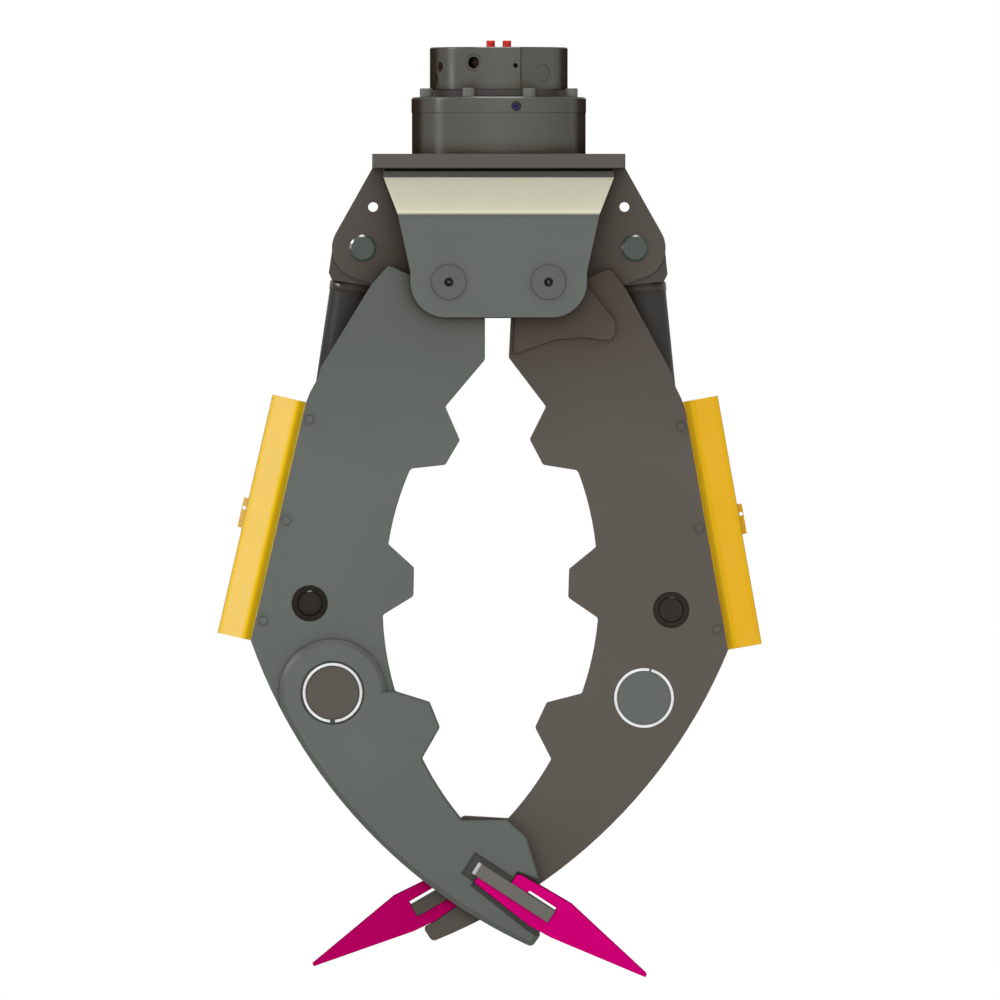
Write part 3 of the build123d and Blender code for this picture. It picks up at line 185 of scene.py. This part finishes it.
class Shader:
    """A node material under construction, with the few node kinds that the finishes share."""

    def __init__(self, name, roughness, metallic=0.0, specular=0.5):
        self.material = bpy.data.materials.new(name)
        self.material.use_nodes = True
        self.tree = self.material.node_tree
        self.bsdf = self.tree.nodes["Principled BSDF"]
        self.bsdf.inputs["Roughness"].default_value = roughness
        self.bsdf.inputs["Metallic"].default_value = metallic
        self.bsdf.inputs["Specular IOR Level"].default_value = specular
        coordinates = self.node("ShaderNodeTexCoord")
        self.place = coordinates.outputs["Object"]
        self.facing = coordinates.outputs["Normal"]

    def link(self, out, into):
        self.tree.links.new(out, into)

    def node(self, kind, **settings):
        made = self.tree.nodes.new(kind)
        for key, value in settings.items():
            setattr(made, key, value)
        return made

    def noise(self, scale, detail, stretch=(1.0, 1.0, 1.0)):
        mapping = self.node("ShaderNodeMapping")
        mapping.inputs["Scale"].default_value = stretch
        self.link(self.place, mapping.inputs["Vector"])
        noise = self.node("ShaderNodeTexNoise")
        noise.inputs["Scale"].default_value = scale
        noise.inputs["Detail"].default_value = detail
        self.link(mapping.outputs["Vector"], noise.inputs["Vector"])
        return noise.outputs["Fac"]

    def remap(self, value, start, end, first=0.0, last=1.0):
        """Value that goes from first to last while the given one goes from start to end."""
        remap = self.node("ShaderNodeMapRange")
        remap.inputs["From Min"].default_value = start
        remap.inputs["From Max"].default_value = end
        remap.inputs["To Min"].default_value = first
        remap.inputs["To Max"].default_value = last
        self.link(value, remap.inputs["Value"])
        return remap.outputs["Result"]

    def clouds(self, scale, detail, first=0.0, last=1.0):
        """Noise with the middle of its range spread from first to last."""
        return self.remap(self.noise(scale, detail), *NOISE_MIDDLE, first, last)

    def joined(self, operation, first, second):
        result = self.node("ShaderNodeMath", operation=operation)
        self.link(first, result.inputs[0])
        self.link(second, result.inputs[1])
        return result.outputs[0]

    def multiply(self, first, second):
        return self.joined("MULTIPLY", first, second)

    def square(self, value):
        return self.multiply(value, value)

    def parts(self, vector):
        """X, Y and Z of a vector."""
        split = self.node("ShaderNodeSeparateXYZ")
        self.link(vector, split.inputs["Vector"])
        return split.outputs

    def mix(self, factor, first, second):
        """Mix of two colours, each a socket or a constant."""
        mix = self.node("ShaderNodeMix", data_type="RGBA")
        self.link(factor, mix.inputs["Factor"])
        for value, socket in ((first, mix.inputs[6]), (second, mix.inputs[7])):
            if isinstance(value, tuple):
                socket.default_value = value
            else:
                self.link(value, socket)
        return mix.outputs[2]

    def shades(self, factor, colour, darker, paler):
        """A colour that varies between two shades of itself."""
        return self.mix(factor, scaled(colour, darker), scaled(colour, paler))

    def edges(self, radius):
        """Mask of the edges, from how far a rounded normal leaves the true one, and that normal."""
        bevel = self.node("ShaderNodeBevel", samples=4)
        bevel.inputs["Radius"].default_value = radius
        geometry = self.node("ShaderNodeNewGeometry")
        dot = self.node("ShaderNodeVectorMath", operation="DOT_PRODUCT")
        self.link(bevel.outputs["Normal"], dot.inputs[0])
        self.link(geometry.outputs["Normal"], dot.inputs[1])
        return self.remap(dot.outputs["Value"], *EDGE_RANGE), bevel.outputs["Normal"]

    def relief(self, *layers, normal=None):
        """Bump from (height socket, strength, distance) layers, over a rounded normal if one is given."""
        for height, strength, distance in layers:
            bump = self.node("ShaderNodeBump")
            bump.inputs["Strength"].default_value = strength
            bump.inputs["Distance"].default_value = distance
            self.link(height, bump.inputs["Height"])
            if normal is not None:
                self.link(normal, bump.inputs["Normal"])
            normal = bump.outputs["Normal"]
        self.link(normal, self.bsdf.inputs["Normal"])

    def colour(self, colour):
        self.link(colour, self.bsdf.inputs["Base Color"])

    def painted(self):
        """The socket that gives the base colour so far."""
        return self.bsdf.inputs["Base Color"].links[0].from_socket

    def roughness(self, value):
        self.link(value, self.bsdf.inputs["Roughness"])


def add_painted_shade(shader, base, colour, corner_shade, top_shade, reach):
    """A paint's colour with painted shade: brown darkening in corners, less of it low on the arms, and
    darkening towards the top.
    """
    corner = shader.node("ShaderNodeAmbientOcclusion", samples=8)
    corner.inputs["Distance"].default_value = reach
    height = shader.parts(shader.place)["Z"]
    corner_darkening = shader.multiply(shader.remap(corner.outputs["AO"], *CORNER_SHADE_RANGE, 0.0, corner_shade),
                           shader.remap(height, *CORNER_SHADE_HEIGHTS, CORNER_SHADE_LOW, 1.0))
    top_darkening = shader.remap(height, *TOP_SHADE_HEIGHTS, 0.0, top_shade)
    brown = tuple(part * share for part, share in zip(colour, SHADE_SHARES))
    return shader.mix(shader.joined("ADD", corner_darkening, top_darkening), base, brown)


def sprayed_paint(name, colour, roughness=0.5, specular=0.15, wear=0.35, corner_shade=0.0, top_shade=0.0,
                  reach=SHADE_REACH):
    """Satin machine paint: slight clouding, dark specks, a fine spray texture and paler rubbed edges, with
    painted shade in corners and towards the top when asked for.
    """
    shader = Shader(name, roughness, specular=specular)
    base = shader.shades(shader.clouds(scale=4.0, detail=4.0), colour, darker=0.97, paler=1.03)
    specks = shader.remap(shader.noise(scale=160.0, detail=2.0), *SPECK_RANGE, 0.0, SPECK_SHARE)
    base = shader.mix(specks, base, scaled(colour, 0.80))
    # Painted shade: darker colour in corners and towards the top
    if corner_shade > 0.0:
        base = add_painted_shade(shader, base, colour, corner_shade, top_shade, reach)
    patches = shader.remap(shader.noise(scale=22.0, detail=5.0), *RUB_RANGE, 0.0, wear)
    edge, rounded = shader.edges(EDGE_SOFTNESS)
    shader.colour(shader.mix(shader.multiply(edge, patches), base, scaled(colour, 1.6)))
    shader.roughness(shader.clouds(scale=9.0, detail=5.0, first=roughness - 0.06, last=roughness + 0.08))
    spray = shader.noise(scale=420.0, detail=2.0)
    waves = shader.noise(scale=7.0, detail=2.0)
    shader.relief((spray, 0.10, 0.0005), (waves, 0.06, 0.002), normal=rounded)
    return shader


def rotator_paint(name, colour, specular):
    """Smooth paint with a painted dark brown reflection down the walls on the left and right sides, and
    painted shade close around the ports and joins.
    """
    shader = sprayed_paint(name, colour, roughness=0.25, specular=specular, corner_shade=1.0, reach=ROTATOR_SHADE_REACH)
    flat = shader.node("ShaderNodeVectorMath", operation="MULTIPLY")
    flat.inputs[1].default_value = (1.0, 1.0, 0.0)
    shader.link(shader.place, flat.inputs[0])
    around = shader.node("ShaderNodeVectorMath", operation="NORMALIZE")
    shader.link(flat.outputs["Vector"], around.inputs[0])
    across = shader.square(shader.parts(around.outputs["Vector"])["X"])
    upward = shader.square(shader.parts(shader.facing)["Z"])
    # Painted reflection: dark brown on the left and right walls
    sides = shader.multiply(shader.remap(across, *SIDE_REFLECTION_SPAN, 0.0, SIDE_REFLECTION_SHARE),
                            shader.remap(upward, *SIDE_REFLECTION_WALLS))
    shader.colour(shader.mix(sides, shader.painted(), srgb(*SIDE_REFLECTION_COLOUR)))
    gloss = shader.remap(sides, 0.0, SIDE_REFLECTION_SHARE, specular, 0.0)
    shader.link(gloss, shader.bsdf.inputs["Specular IOR Level"])
    return shader


def ear_paint(name, colour, lit_slope_colour):
    """The ears' paint, with a painted highlight of pale cream on the face that slopes up, and painted shade
    in its corners.
    """
    shader = sprayed_paint(name, colour, corner_shade=0.6)
    geometry = shader.node("ShaderNodeNewGeometry")
    slope = shader.remap(shader.parts(geometry.outputs["Normal"])["Z"], *LIT_SLOPE_RANGE)
    pale = shader.shades(shader.clouds(scale=5.0, detail=3.0), lit_slope_colour, darker=0.985, paler=1.01)
    # Painted highlight: pale cream on the upward slope
    shader.colour(shader.mix(slope, shader.painted(), pale))
    return shader


def guard_paint(name, colour, bend_light_colour, bend_light_range, specular=0.15):
    """A guard's yellow, with painted light where the sheet bends down on to the arm: a brighter, deeper
    yellow there, though not on its outer web.

    The bend range holds the squared Y part of the normal where the bend's painted light starts and where it
    is full.
    """
    shader = sprayed_paint(name, colour, roughness=0.48, specular=specular)
    frontal = shader.square(shader.parts(shader.facing)["Y"])
    bend = shader.multiply(shader.remap(frontal, *bend_light_range), shader.remap(frontal, *GUARD_WEB))
    # Painted light on the bend
    shader.colour(shader.mix(bend, shader.painted(), bend_light_colour))
    return shader


def plug_paint(name, colour, flat_colour):
    """Port plugs painted near black on the left as painted shade of the open side ports, and paint on the
    plug in the machined flat on the right.
    """
    shader = sprayed_paint(name, colour, specular=0.05)
    right = shader.remap(shader.parts(shader.place)["X"], *PLUG_SPLIT)
    shader.colour(shader.mix(right, shader.painted(), flat_colour))
    return shader


def turned_steel(name, colour, roughness=0.35):
    """Machined steel with fine tool marks."""
    shader = Shader(name, roughness, metallic=1.0)
    marks = shader.noise(scale=900.0, detail=2.0, stretch=(1.0, 0.05, 1.0))
    stains = shader.remap(shader.noise(scale=30.0, detail=5.0), 0.35, 0.75)
    shader.colour(shader.mix(stains, colour, scaled(colour, 0.78)))
    shader.roughness(shader.remap(marks, *NOISE_MIDDLE, roughness - 0.08, roughness + 0.12))
    shader.relief((marks, 0.10, 0.0003))
    return shader


def cast_metal(name, colour):
    """Rough metal, clouded by its own grain."""
    shader = Shader(name, roughness=0.6, metallic=0.4)
    grain = shader.noise(scale=240.0, detail=4.0)
    shader.colour(shader.shades(shader.remap(grain, *NOISE_MIDDLE), colour, darker=0.8, paler=1.15))
    shader.relief((grain, 0.35, 0.0008))
    return shader


def moulded_plastic(name, colour):
    """Satin plastic or rubber with a fine grain."""
    shader = Shader(name, roughness=0.4, specular=0.15)
    shader.colour(shader.shades(shader.clouds(scale=60.0, detail=3.0), colour, darker=0.9, paler=1.08))
    shader.relief((shader.noise(scale=600.0, detail=2.0), 0.2, 0.0003))
    return shader


# Finishes, by the paint that the photograph shows on each piece

# Corner and top shade on these paints is painted shade
green_grey = sprayed_paint("green_grey_paint", srgb(100, 106, 103), specular=0.06, corner_shade=1.0, top_shade=0.10)
brown_grey = sprayed_paint("brown_grey_paint", srgb(94, 89, 84), specular=0.06, corner_shade=0.60, top_shade=0.32)
# The ears' pale cream is a painted highlight on their upward slope
ear_finish = ear_paint("ear_paint", srgb(98, 104, 101), srgb(255, 255, 230))
# The rotator's dark brown sides are a painted reflection
rotator_finish = rotator_paint("rotator_paint", srgb(97, 98, 93), specular=0.05)
# The plugs' near black is painted shade of the side ports
plug_finish = plug_paint("plug_paint", srgb(34, 32, 30), srgb(96, 96, 90))
plate_finish = sprayed_paint("head_plate_paint", srgb(90, 86, 81), corner_shade=0.7)
neck_finish = sprayed_paint("neck_paint", srgb(80, 77, 75), specular=0.05)
screw_finish = sprayed_paint("screw_paint", srgb(106, 107, 102), roughness=0.4)
bridge_finish = sprayed_paint("bridge_paint", srgb(87, 81, 76), corner_shade=0.8)
pin_finish = sprayed_paint("pin_paint", srgb(67, 77, 72), roughness=0.28, specular=0.35)
recess_finish = sprayed_paint("recess_paint", srgb(92, 99, 93))
# Near black: a painted shadow line in the bead under the head plate, and the colour of the port threads
shadow_and_thread_black = sprayed_paint("shadow_line_and_thread_paint", srgb(16, 17, 14), specular=0.02, wear=0.0)
band_finish = sprayed_paint("band_paint", srgb(72, 68, 64), roughness=0.3, specular=0.1, corner_shade=0.8)
# Rod pin and lugs: colours darkened as painted shade of the access hole they sit in
shaded_rod_pin_finish = sprayed_paint("shaded_rod_pin_paint", srgb(54, 45, 37), roughness=0.3, specular=0.08)
shaded_lug_finish = sprayed_paint("shaded_lug_paint", srgb(62, 54, 47), specular=0.08)
block_finish = sprayed_paint("eye_block_paint", srgb(78, 74, 69), specular=0.08)
barrel_finish = sprayed_paint("cylinder_paint", srgb(67, 68, 67), roughness=0.42, specular=0.04, corner_shade=1.0)
# The bend colours are painted light on the guards' bends
pale_yellow = guard_paint("pale_yellow_paint", srgb(245, 206, 99), srgb(255, 208, 20), PALE_BEND_LIGHT)
deep_yellow = guard_paint("deep_yellow_paint", srgb(230, 178, 26), srgb(255, 206, 38), DEEP_BEND_LIGHT,
                          specular=0.08)
magenta = sprayed_paint("magenta_paint", srgb(216, 0, 126), specular=0.0, corner_shade=1.0)
dark_magenta = sprayed_paint("dark_magenta_paint", srgb(190, 0, 104), specular=0.0, corner_shade=1.0)
pale_bar = sprayed_paint("pale_bar_paint", srgb(101, 99, 93), roughness=0.4, specular=0.3)
dark_bar = sprayed_paint("dark_bar_paint", srgb(78, 71, 64), roughness=0.45)
seal_finish = moulded_plastic("seal_rubber", srgb(22, 22, 22))
red_finish = moulded_plastic("red_cap_plastic", srgb(230, 42, 36))
blue_finish = moulded_plastic("blue_plug_finish", srgb(40, 34, 90))
bright_finish = turned_steel("bright_steel", (0.85, 0.86, 0.86, 1.0), roughness=0.3)
machined_finish = turned_steel("machined_steel", (0.45, 0.45, 0.44, 1.0))
dark_finish = turned_steel("dark_steel", (0.10, 0.085, 0.07, 1.0), roughness=0.5)
chrome_finish = turned_steel("hard_chrome", (0.80, 0.81, 0.83, 1.0), roughness=0.12)
bronze_finish = turned_steel("bronze", (0.50, 0.34, 0.14, 1.0))
iron_finish = cast_metal("cast_iron", (0.12, 0.12, 0.12, 1.0))

finishes = {
    "rotator_manifold": rotator_finish,
    "rotator_housing": rotator_finish,
    "rotator_shaft": neck_finish,
    "rotator_rotor": machined_finish,
    "rotator_vanes": machined_finish,
    "rotator_shaft_nut": machined_finish,
    "rotator_motor_ring": iron_finish,
    "rotator_end_cover": iron_finish,
    "rotator_bearings": bronze_finish,
    "rotator_port_plugs": plug_finish,
    "rotator_flange_screws": screw_finish,
    "red_port_caps": red_finish,
    "blue_port_plug": blue_finish,
    "head_plate": plate_finish,
    "head_gussets": green_grey,
    "front_ear": ear_finish,
    "rear_ear": ear_finish,
    "front_bridge_plate": bridge_finish,
    "rear_bridge_plate": bridge_finish,
    "pivot_pins": recess_finish,
    "pivot_caps": green_grey,
    "cylinder_pins": pin_finish,
}
side_finishes = {
    "cross_shaft": (brown_grey, green_grey),
    "guard": (pale_yellow, deep_yellow),
    "lip_bars": (pale_bar, dark_bar),
    "teeth": (magenta, dark_magenta),
    "rod_lugs": (shaded_lug_finish, shaded_lug_finish),
    "rod_pin": (shaded_rod_pin_finish, shaded_rod_pin_finish),
    "hub_bushes": (bronze_finish, bronze_finish),
    "circlips": (bright_finish, bright_finish),
    "cylinder_base": (block_finish, block_finish),
    "cylinder_barrel": (barrel_finish, barrel_finish),
    "cylinder_gland": (barrel_finish, barrel_finish),
    "cylinder_rod": (chrome_finish, chrome_finish),
    "cylinder_piston": (iron_finish, iron_finish),
}
for part in ("front_side_plate", "rear_side_plate", "claw_doublers", "hubs", "box_webs", "guard_bolts"):
    side_finishes[part] = (green_grey, brown_grey)
for part, (left_finish, right_finish) in side_finishes.items():
    finishes[f"left_{part}"] = left_finish
    finishes[f"right_{part}"] = right_finish

for name, node in NODES.items():
    node.data.materials.clear()
    node.data.materials.append(finishes[name].material)


# Small pieces

def add_piece(name, mesh, body, finish, smooth=True):
    """Object from a finished mesh, on one CAD body."""
    mesh.materials.append(finish.material)
    for polygon in mesh.polygons:
        polygon.use_smooth = smooth
    piece = bpy.data.objects.new(name, mesh)
    bpy.context.scene.collection.objects.link(piece)
    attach(piece, body)


def sideways(direction):
    """Two unit vectors across a direction."""
    helper = Vector((0.0, 0.0, 1.0)) if abs(direction.z) < 0.9 else Vector((1.0, 0.0, 0.0))
    first = direction.cross(helper).normalized()
    return first, direction.cross(first).normalized()


def circle(centre, first, second, radius, count=ROUND_STEPS):
    """Points round a centre, in the plane of two unit vectors."""
    turns = [2 * math.pi * step / count for step in range(count)]
    return [centre + (first * math.cos(turn) + second * math.sin(turn)) * radius for turn in turns]


def skin(rings, closed):
    """Mesh over a row of rings that each have the same number of points."""
    count = len(rings[0])
    mesh = bpy.data.meshes.new("skin")
    faces = []
    for row in range(len(rings) if closed else len(rings) - 1):
        following = (row + 1) % len(rings)
        for step in range(count):
            after = (step + 1) % count
            faces.append((row * count + step, row * count + after, following * count + after,
                          following * count + step))
    if not closed:
        faces.append(tuple(reversed(range(count))))
        faces.append(tuple((len(rings) - 1) * count + step for step in range(count)))
    mesh.from_pydata([tuple(point) for ring in rings for point in ring], [], faces)
    mesh.update()
    return mesh


def spread(points, closed):
    """Points at an even step along a path."""
    path = [Vector(point) for point in points]
    if closed:
        path.append(path[0])
    placed = []
    for start, end in zip(path, path[1:]):
        count = max(1, round((end - start).length / BEAD_STEP))
        placed += [start.lerp(end, step / count) for step in range(count)]
    if not closed:
        placed.append(path[-1])
    return placed


def weld_bead(name, points, body, finish, radius=BEAD_RADIUS, closed=False):
    """Rippled weld bead along a path, half sunk in the corner that it fills."""
    path = spread(points, closed)
    rings = []
    run = 0.0
    for index, point in enumerate(path):
        before = path[index - 1] if index > 0 or closed else point
        after = path[(index + 1) % len(path)] if index < len(path) - 1 or closed else point
        first, second = sideways((after - before).normalized())
        run += (point - before).length
        swell = radius * (0.86 + 0.14 * abs(math.sin(math.pi * run / BEAD_PITCH)))
        rings.append(circle(point, first, second, swell, BEAD_SIDES))
    add_piece(name, skin(rings, closed), body, finish)


def turned(name, profile, place, direction, body, finish, sides=ROUND_STEPS):
    """Piece turned about a direction from (radius, height) pairs, or a prism where it has few sides."""
    first, second = sideways(direction)
    rings = [circle(place + direction * height, first, second, radius, sides) for radius, height in profile]
    add_piece(name, skin(rings, False), body, finish, smooth=sides == ROUND_STEPS)


def screw_thread(name, place, direction, radius, depth, pitch, body, finish):
    """Ridge of a thread that winds down a hole from its mouth."""
    first, second = sideways(direction)
    rings = []
    steps = int(depth / pitch * ROUND_STEPS / 2)
    for step in range(steps + 1):
        turn = 4 * math.pi * step / ROUND_STEPS
        drop = pitch * turn / (2 * math.pi)
        out = first * math.cos(turn) + second * math.sin(turn)
        wall = place - direction * drop + out * (radius + THREAD_HEIGHT / 4)
        crest = place - direction * (drop + pitch / 2) + out * (radius - THREAD_HEIGHT)
        rings.append([wall, crest, wall - direction * pitch * THREAD_FILL])
    add_piece(name, skin(rings, False), body, finish)


def named(entries, name):
    """The entry of that name in one of the record's lists."""
    return next(entry for entry in entries if entry["name"] == name)


def joint_place(name):
    return Vector(named(JOINTS, name)["pos_m"])


def arm_place(side, outward, up, depth):
    """Place on an arm, given from its pivot along and across the arm."""
    lean = math.radians(CLOSING_ANGLE[side])
    pivot = joint_place(f"{side}_arm_swing")
    return Vector((pivot.x + SIDES[side] * (outward * math.cos(lean) + up * math.sin(lean)), depth,
                   pivot.z - outward * math.sin(lean) + up * math.cos(lean)))


def thread_ports():
    for name, pitch in PORT_PITCHES.items():
        port = named(MOUNTS, name)
        way = Vector(port["axis"]).normalized()
        mouth = Vector(port["pos_m"]) + Vector(port["axis"]) * port["dims"]["length_mm"] / 2000
        screw_thread(f"{name}_thread", mouth - way * PORT_THREAD_START, way, port["dims"]["r_mm"] / 1000,
                     PORT_THREAD_DEPTH, pitch, "rotator_top", shadow_and_thread_black)


def thread_top_bolts():
    dims = named(MOUNTS, "top_bolts")["dims"]
    circle_radius = dims["pcd_mm"] / 2000
    for number in range(dims["count"]):
        turn = 2 * math.pi / dims["count"] * number
        place = Vector((circle_radius * math.cos(turn), circle_radius * math.sin(turn), -BOLT_THREAD_START))
        screw_thread(f"top_bolt_thread_{number + 1}", place, Vector((0.0, 0.0, 1.0)),
                     dims["hole_r_mm"] / 1000, BOLT_THREAD_DEPTH, BOLT_PITCH, "rotator_top", dark_finish)


def weld_head():
    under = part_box("head_plate")[0][2]
    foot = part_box("head_gussets")[0][2]
    for facing, sign in FACINGS.items():
        for number, face in enumerate(BRIDGE_FACES):
            row = [(-EAR_ROOT_HALF, sign * face, under), (EAR_ROOT_HALF, sign * face, under)]
            weld_bead(f"{facing}_bridge_weld_{number + 1}", row, "head", bridge_finish)
        # The bead at the ears' outer face is near black, a painted shadow line under the head plate
        for number, (face, finish) in enumerate(zip(EAR_ROOT, (green_grey, shadow_and_thread_black))):
            row = [(-EAR_ROOT_HALF, sign * face, under), (EAR_ROOT_HALF, sign * face, under)]
            weld_bead(f"{facing}_ear_weld_{number + 1}", row, "head", finish, radius=EAR_BEAD_RADIUS)
        for side, half in SIDES.items():
            for edge, reach in (("inner", -GUSSET_HALF), ("outer", GUSSET_HALF)):
                across = half * (GUSSET_PLACE + reach)
                row = [(across, sign * BRIDGE_FACES[1], under - GUSSET_TOP_GAP),
                       (across, sign * BRIDGE_FACES[1], foot)]
                weld_bead(f"{facing}_{side}_gusset_{edge}_weld", row, "head", green_grey)


def add_grease_nipples():
    pin_end = abs(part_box("pivot_pins")[0][1])
    for facing, sign in FACINGS.items():
        for side in SIDES:
            pivot = joint_place(f"{side}_arm_swing")
            start = Vector((pivot.x, sign * (pin_end - NIPPLE_INSET), pivot.z))
            turned(f"{facing}_{side}_grease_nipple", NIPPLE_PROFILE, start, Vector((0.0, sign, 0.0)),
                   "head", recess_finish)


def weld_arm(side, paint):
    body = f"{side}_arm"
    run = Vector((WEB_BOTTOM[0] - WEB_TOP[0], WEB_BOTTOM[1] - WEB_TOP[1])).normalized()
    for facing, sign in FACINGS.items():
        hub = circle(arm_place(side, 0.0, 0.0, sign * HUB_FACE[side]), Vector((1.0, 0.0, 0.0)),
                     Vector((0.0, 0.0, 1.0)), HUB_RADIUS)
        weld_bead(f"{side}_{facing}_hub_weld", hub, body, paint, radius=HUB_BEAD_RADIUS, closed=True)
        inner = sign * PLATE_INNER[side]
        for number, edge in enumerate((-WEB_HALF, WEB_HALF)):
            row = [arm_place(side, outward - run.y * edge, up + run.x * edge, inner)
                   for outward, up in (WEB_TOP, WEB_BOTTOM)]
            weld_bead(f"{side}_{facing}_web_weld_{number + 1}", row, body, paint)
        for number, up in enumerate((BULKHEAD_TOP, BULKHEAD_TOP - BULKHEAD_DEPTH)):
            row = [arm_place(side, outward, up, inner) for outward in BULKHEAD_REACH]
            weld_bead(f"{side}_{facing}_bulkhead_weld_{number + 1}", row, body, paint)
        for number, lug_face in enumerate(LUG_FACES):
            row = [arm_place(side, outward, BULKHEAD_TOP, sign * lug_face) for outward in LUG_FOOT]
            weld_bead(f"{side}_{facing}_lug_weld_{number + 1}", row, body, paint)


def dress_cylinder(side):
    """Band at the barrel's top, wiper at its mouth, and a washer and plug on each of its two ports."""
    body = f"{side}_cylinder"
    start = joint_place(f"{side}_cylinder_swing")
    way = Vector(named(JOINTS, f"{side}_rod_slide")["axis"])
    along = way.normalized()
    band = [(BARREL_RADIUS - BAND_EDGE, 0.0), (BARREL_RADIUS + BAND_EDGE, BAND_EDGE),
            (BARREL_RADIUS + BAND_EDGE, BAND_WIDTH - BAND_EDGE), (BARREL_RADIUS - BAND_EDGE, BAND_WIDTH)]
    turned(f"{side}_barrel_band", band, start + way * BARREL_START, along, body, band_finish)
    turned(f"{side}_rod_wiper", WIPER_PROFILE, start + way * BARREL_END, along, body, seal_finish)
    rearward = Vector((0.0, 1.0, 0.0))
    for number, distance in enumerate(PORT_PLACES):
        place = start + way * distance + rearward * PORT_FACE
        turned(f"{side}_port_washer_{number + 1}", WASHER_PROFILE, place, rearward, body, bright_finish)
        turned(f"{side}_port_plug_{number + 1}", PLUG_PROFILE, place, rearward, body, red_finish,
               sides=PLUG_SIDES)


thread_ports()
thread_top_bolts()
weld_head()
add_grease_nipples()
for side, paint in (("left", green_grey), ("right", brown_grey)):
    weld_arm(side, paint)
    dress_cylinder(side)


# Camera, floor and light

def make_camera():
    data = bpy.data.cameras.new("camera")
    data.lens = VIEW_LENS
    data.sensor_width = SENSOR_WIDTH
    camera = bpy.data.objects.new("camera", data)
    distance = VIEW_WIDTH * VIEW_LENS / SENSOR_WIDTH
    camera.location = (VIEW_CENTRE_X, -distance, VIEW_CENTRE_Z)
    camera.rotation_euler = (math.radians(90), 0.0, 0.0)
    data.clip_start = distance / 10
    data.clip_end = distance * 2
    bpy.context.scene.collection.objects.link(camera)
    bpy.context.scene.camera = camera


def floor_finish():
    """Pale matt floor that keeps the object's shadow and turns white, to the camera alone, away from it."""
    shader = Shader("floor_finish", roughness=0.9, specular=0.0)
    darker, paler = (srgb(*shade) for shade in FLOOR_SHADES)
    shader.colour(shader.mix(shader.clouds(scale=0.8, detail=2.0), darker, paler))
    reach = shader.node("ShaderNodeVectorMath", operation="LENGTH")
    shader.link(shader.place, reach.inputs[0])
    near, far = (math.hypot(FLOOR_Z, fade) for fade in FLOOR_FADE)
    outside = shader.remap(reach.outputs["Value"], near, far, FLOOR_GLOW, 1.0)
    seen = shader.node("ShaderNodeLightPath").outputs["Is Camera Ray"]
    white = shader.node("ShaderNodeEmission")
    white.inputs["Color"].default_value = WHITE
    blend = shader.node("ShaderNodeMixShader")
    shader.link(shader.multiply(outside, seen), blend.inputs["Fac"])
    shader.link(shader.bsdf.outputs[0], blend.inputs[1])
    shader.link(white.outputs[0], blend.inputs[2])
    shader.link(blend.outputs[0], shader.tree.nodes["Material Output"].inputs["Surface"])
    return shader


def make_floor():
    mesh = bpy.data.meshes.new("floor")
    corners = [(across * FLOOR_HALF, along * FLOOR_HALF, FLOOR_Z)
               for across, along in ((-1, -1), (1, -1), (1, 1), (-1, 1))]
    mesh.from_pydata(corners, [], [(0, 1, 2, 3)])
    mesh.materials.append(floor_finish().material)
    floor = bpy.data.objects.new("floor", mesh)
    bpy.context.scene.collection.objects.link(floor)


def make_world():
    """Light from all round on the object, and plain white behind it for the camera, metal and glass."""
    world = bpy.data.worlds.new("studio")
    bpy.context.scene.world = world
    world.use_nodes = True
    nodes, links = world.node_tree.nodes, world.node_tree.links
    nodes.clear()
    output = nodes.new("ShaderNodeOutputWorld")
    place = nodes.new("ShaderNodeTexCoord")
    split = nodes.new("ShaderNodeSeparateXYZ")
    links.new(place.outputs["Generated"], split.inputs["Vector"])
    total = nodes.new("ShaderNodeBackground")
    total.inputs["Color"].default_value = SIDE_TINT
    total.inputs["Strength"].default_value = SIDE_LIGHT
    lit = total.outputs[0]
    for axis, start, full, strength, tint in SOFT_LIGHTS:
        share = nodes.new("ShaderNodeMapRange")
        share.interpolation_type = "SMOOTHSTEP"
        share.inputs["From Min"].default_value = start
        share.inputs["From Max"].default_value = full
        share.inputs["To Max"].default_value = strength
        links.new(split.outputs[axis], share.inputs["Value"])
        light = nodes.new("ShaderNodeBackground")
        light.inputs["Color"].default_value = tint
        links.new(share.outputs["Result"], light.inputs["Strength"])
        joined = nodes.new("ShaderNodeAddShader")
        links.new(lit, joined.inputs[0])
        links.new(light.outputs[0], joined.inputs[1])
        lit = joined.outputs[0]
    white = nodes.new("ShaderNodeBackground")
    white.inputs["Color"].default_value = WHITE
    path = nodes.new("ShaderNodeLightPath")
    seen = path.outputs["Is Camera Ray"]
    for name in ("Is Glossy Ray", "Is Transmission Ray"):
        either = nodes.new("ShaderNodeMath")
        either.operation = "MAXIMUM"
        links.new(seen, either.inputs[0])
        links.new(path.outputs[name], either.inputs[1])
        seen = either.outputs[0]
    mix = nodes.new("ShaderNodeMixShader")
    links.new(seen, mix.inputs["Fac"])
    links.new(lit, mix.inputs[1])
    links.new(white.outputs[0], mix.inputs[2])
    links.new(mix.outputs[0], output.inputs["Surface"])


def make_glint_lamp(name, place, target, length, width, power):
    """Rectangular lamp that shows only as a glint on edges and round metal."""
    data = bpy.data.lights.new(name, "AREA")
    data.shape = "RECTANGLE"
    data.size = length
    data.size_y = width
    data.energy = power
    lamp = bpy.data.objects.new(name, data)
    lamp.location = place
    lamp.visible_diffuse = False
    lamp.rotation_euler = (Vector(target) - Vector(place)).to_track_quat("-Z", "Y").to_euler()
    bpy.context.scene.collection.objects.link(lamp)


make_camera()
make_floor()
make_world()
for lamp in GLINT_LAMPS:
    make_glint_lamp(*lamp)
bpy.context.scene.view_settings.view_transform = "Standard"
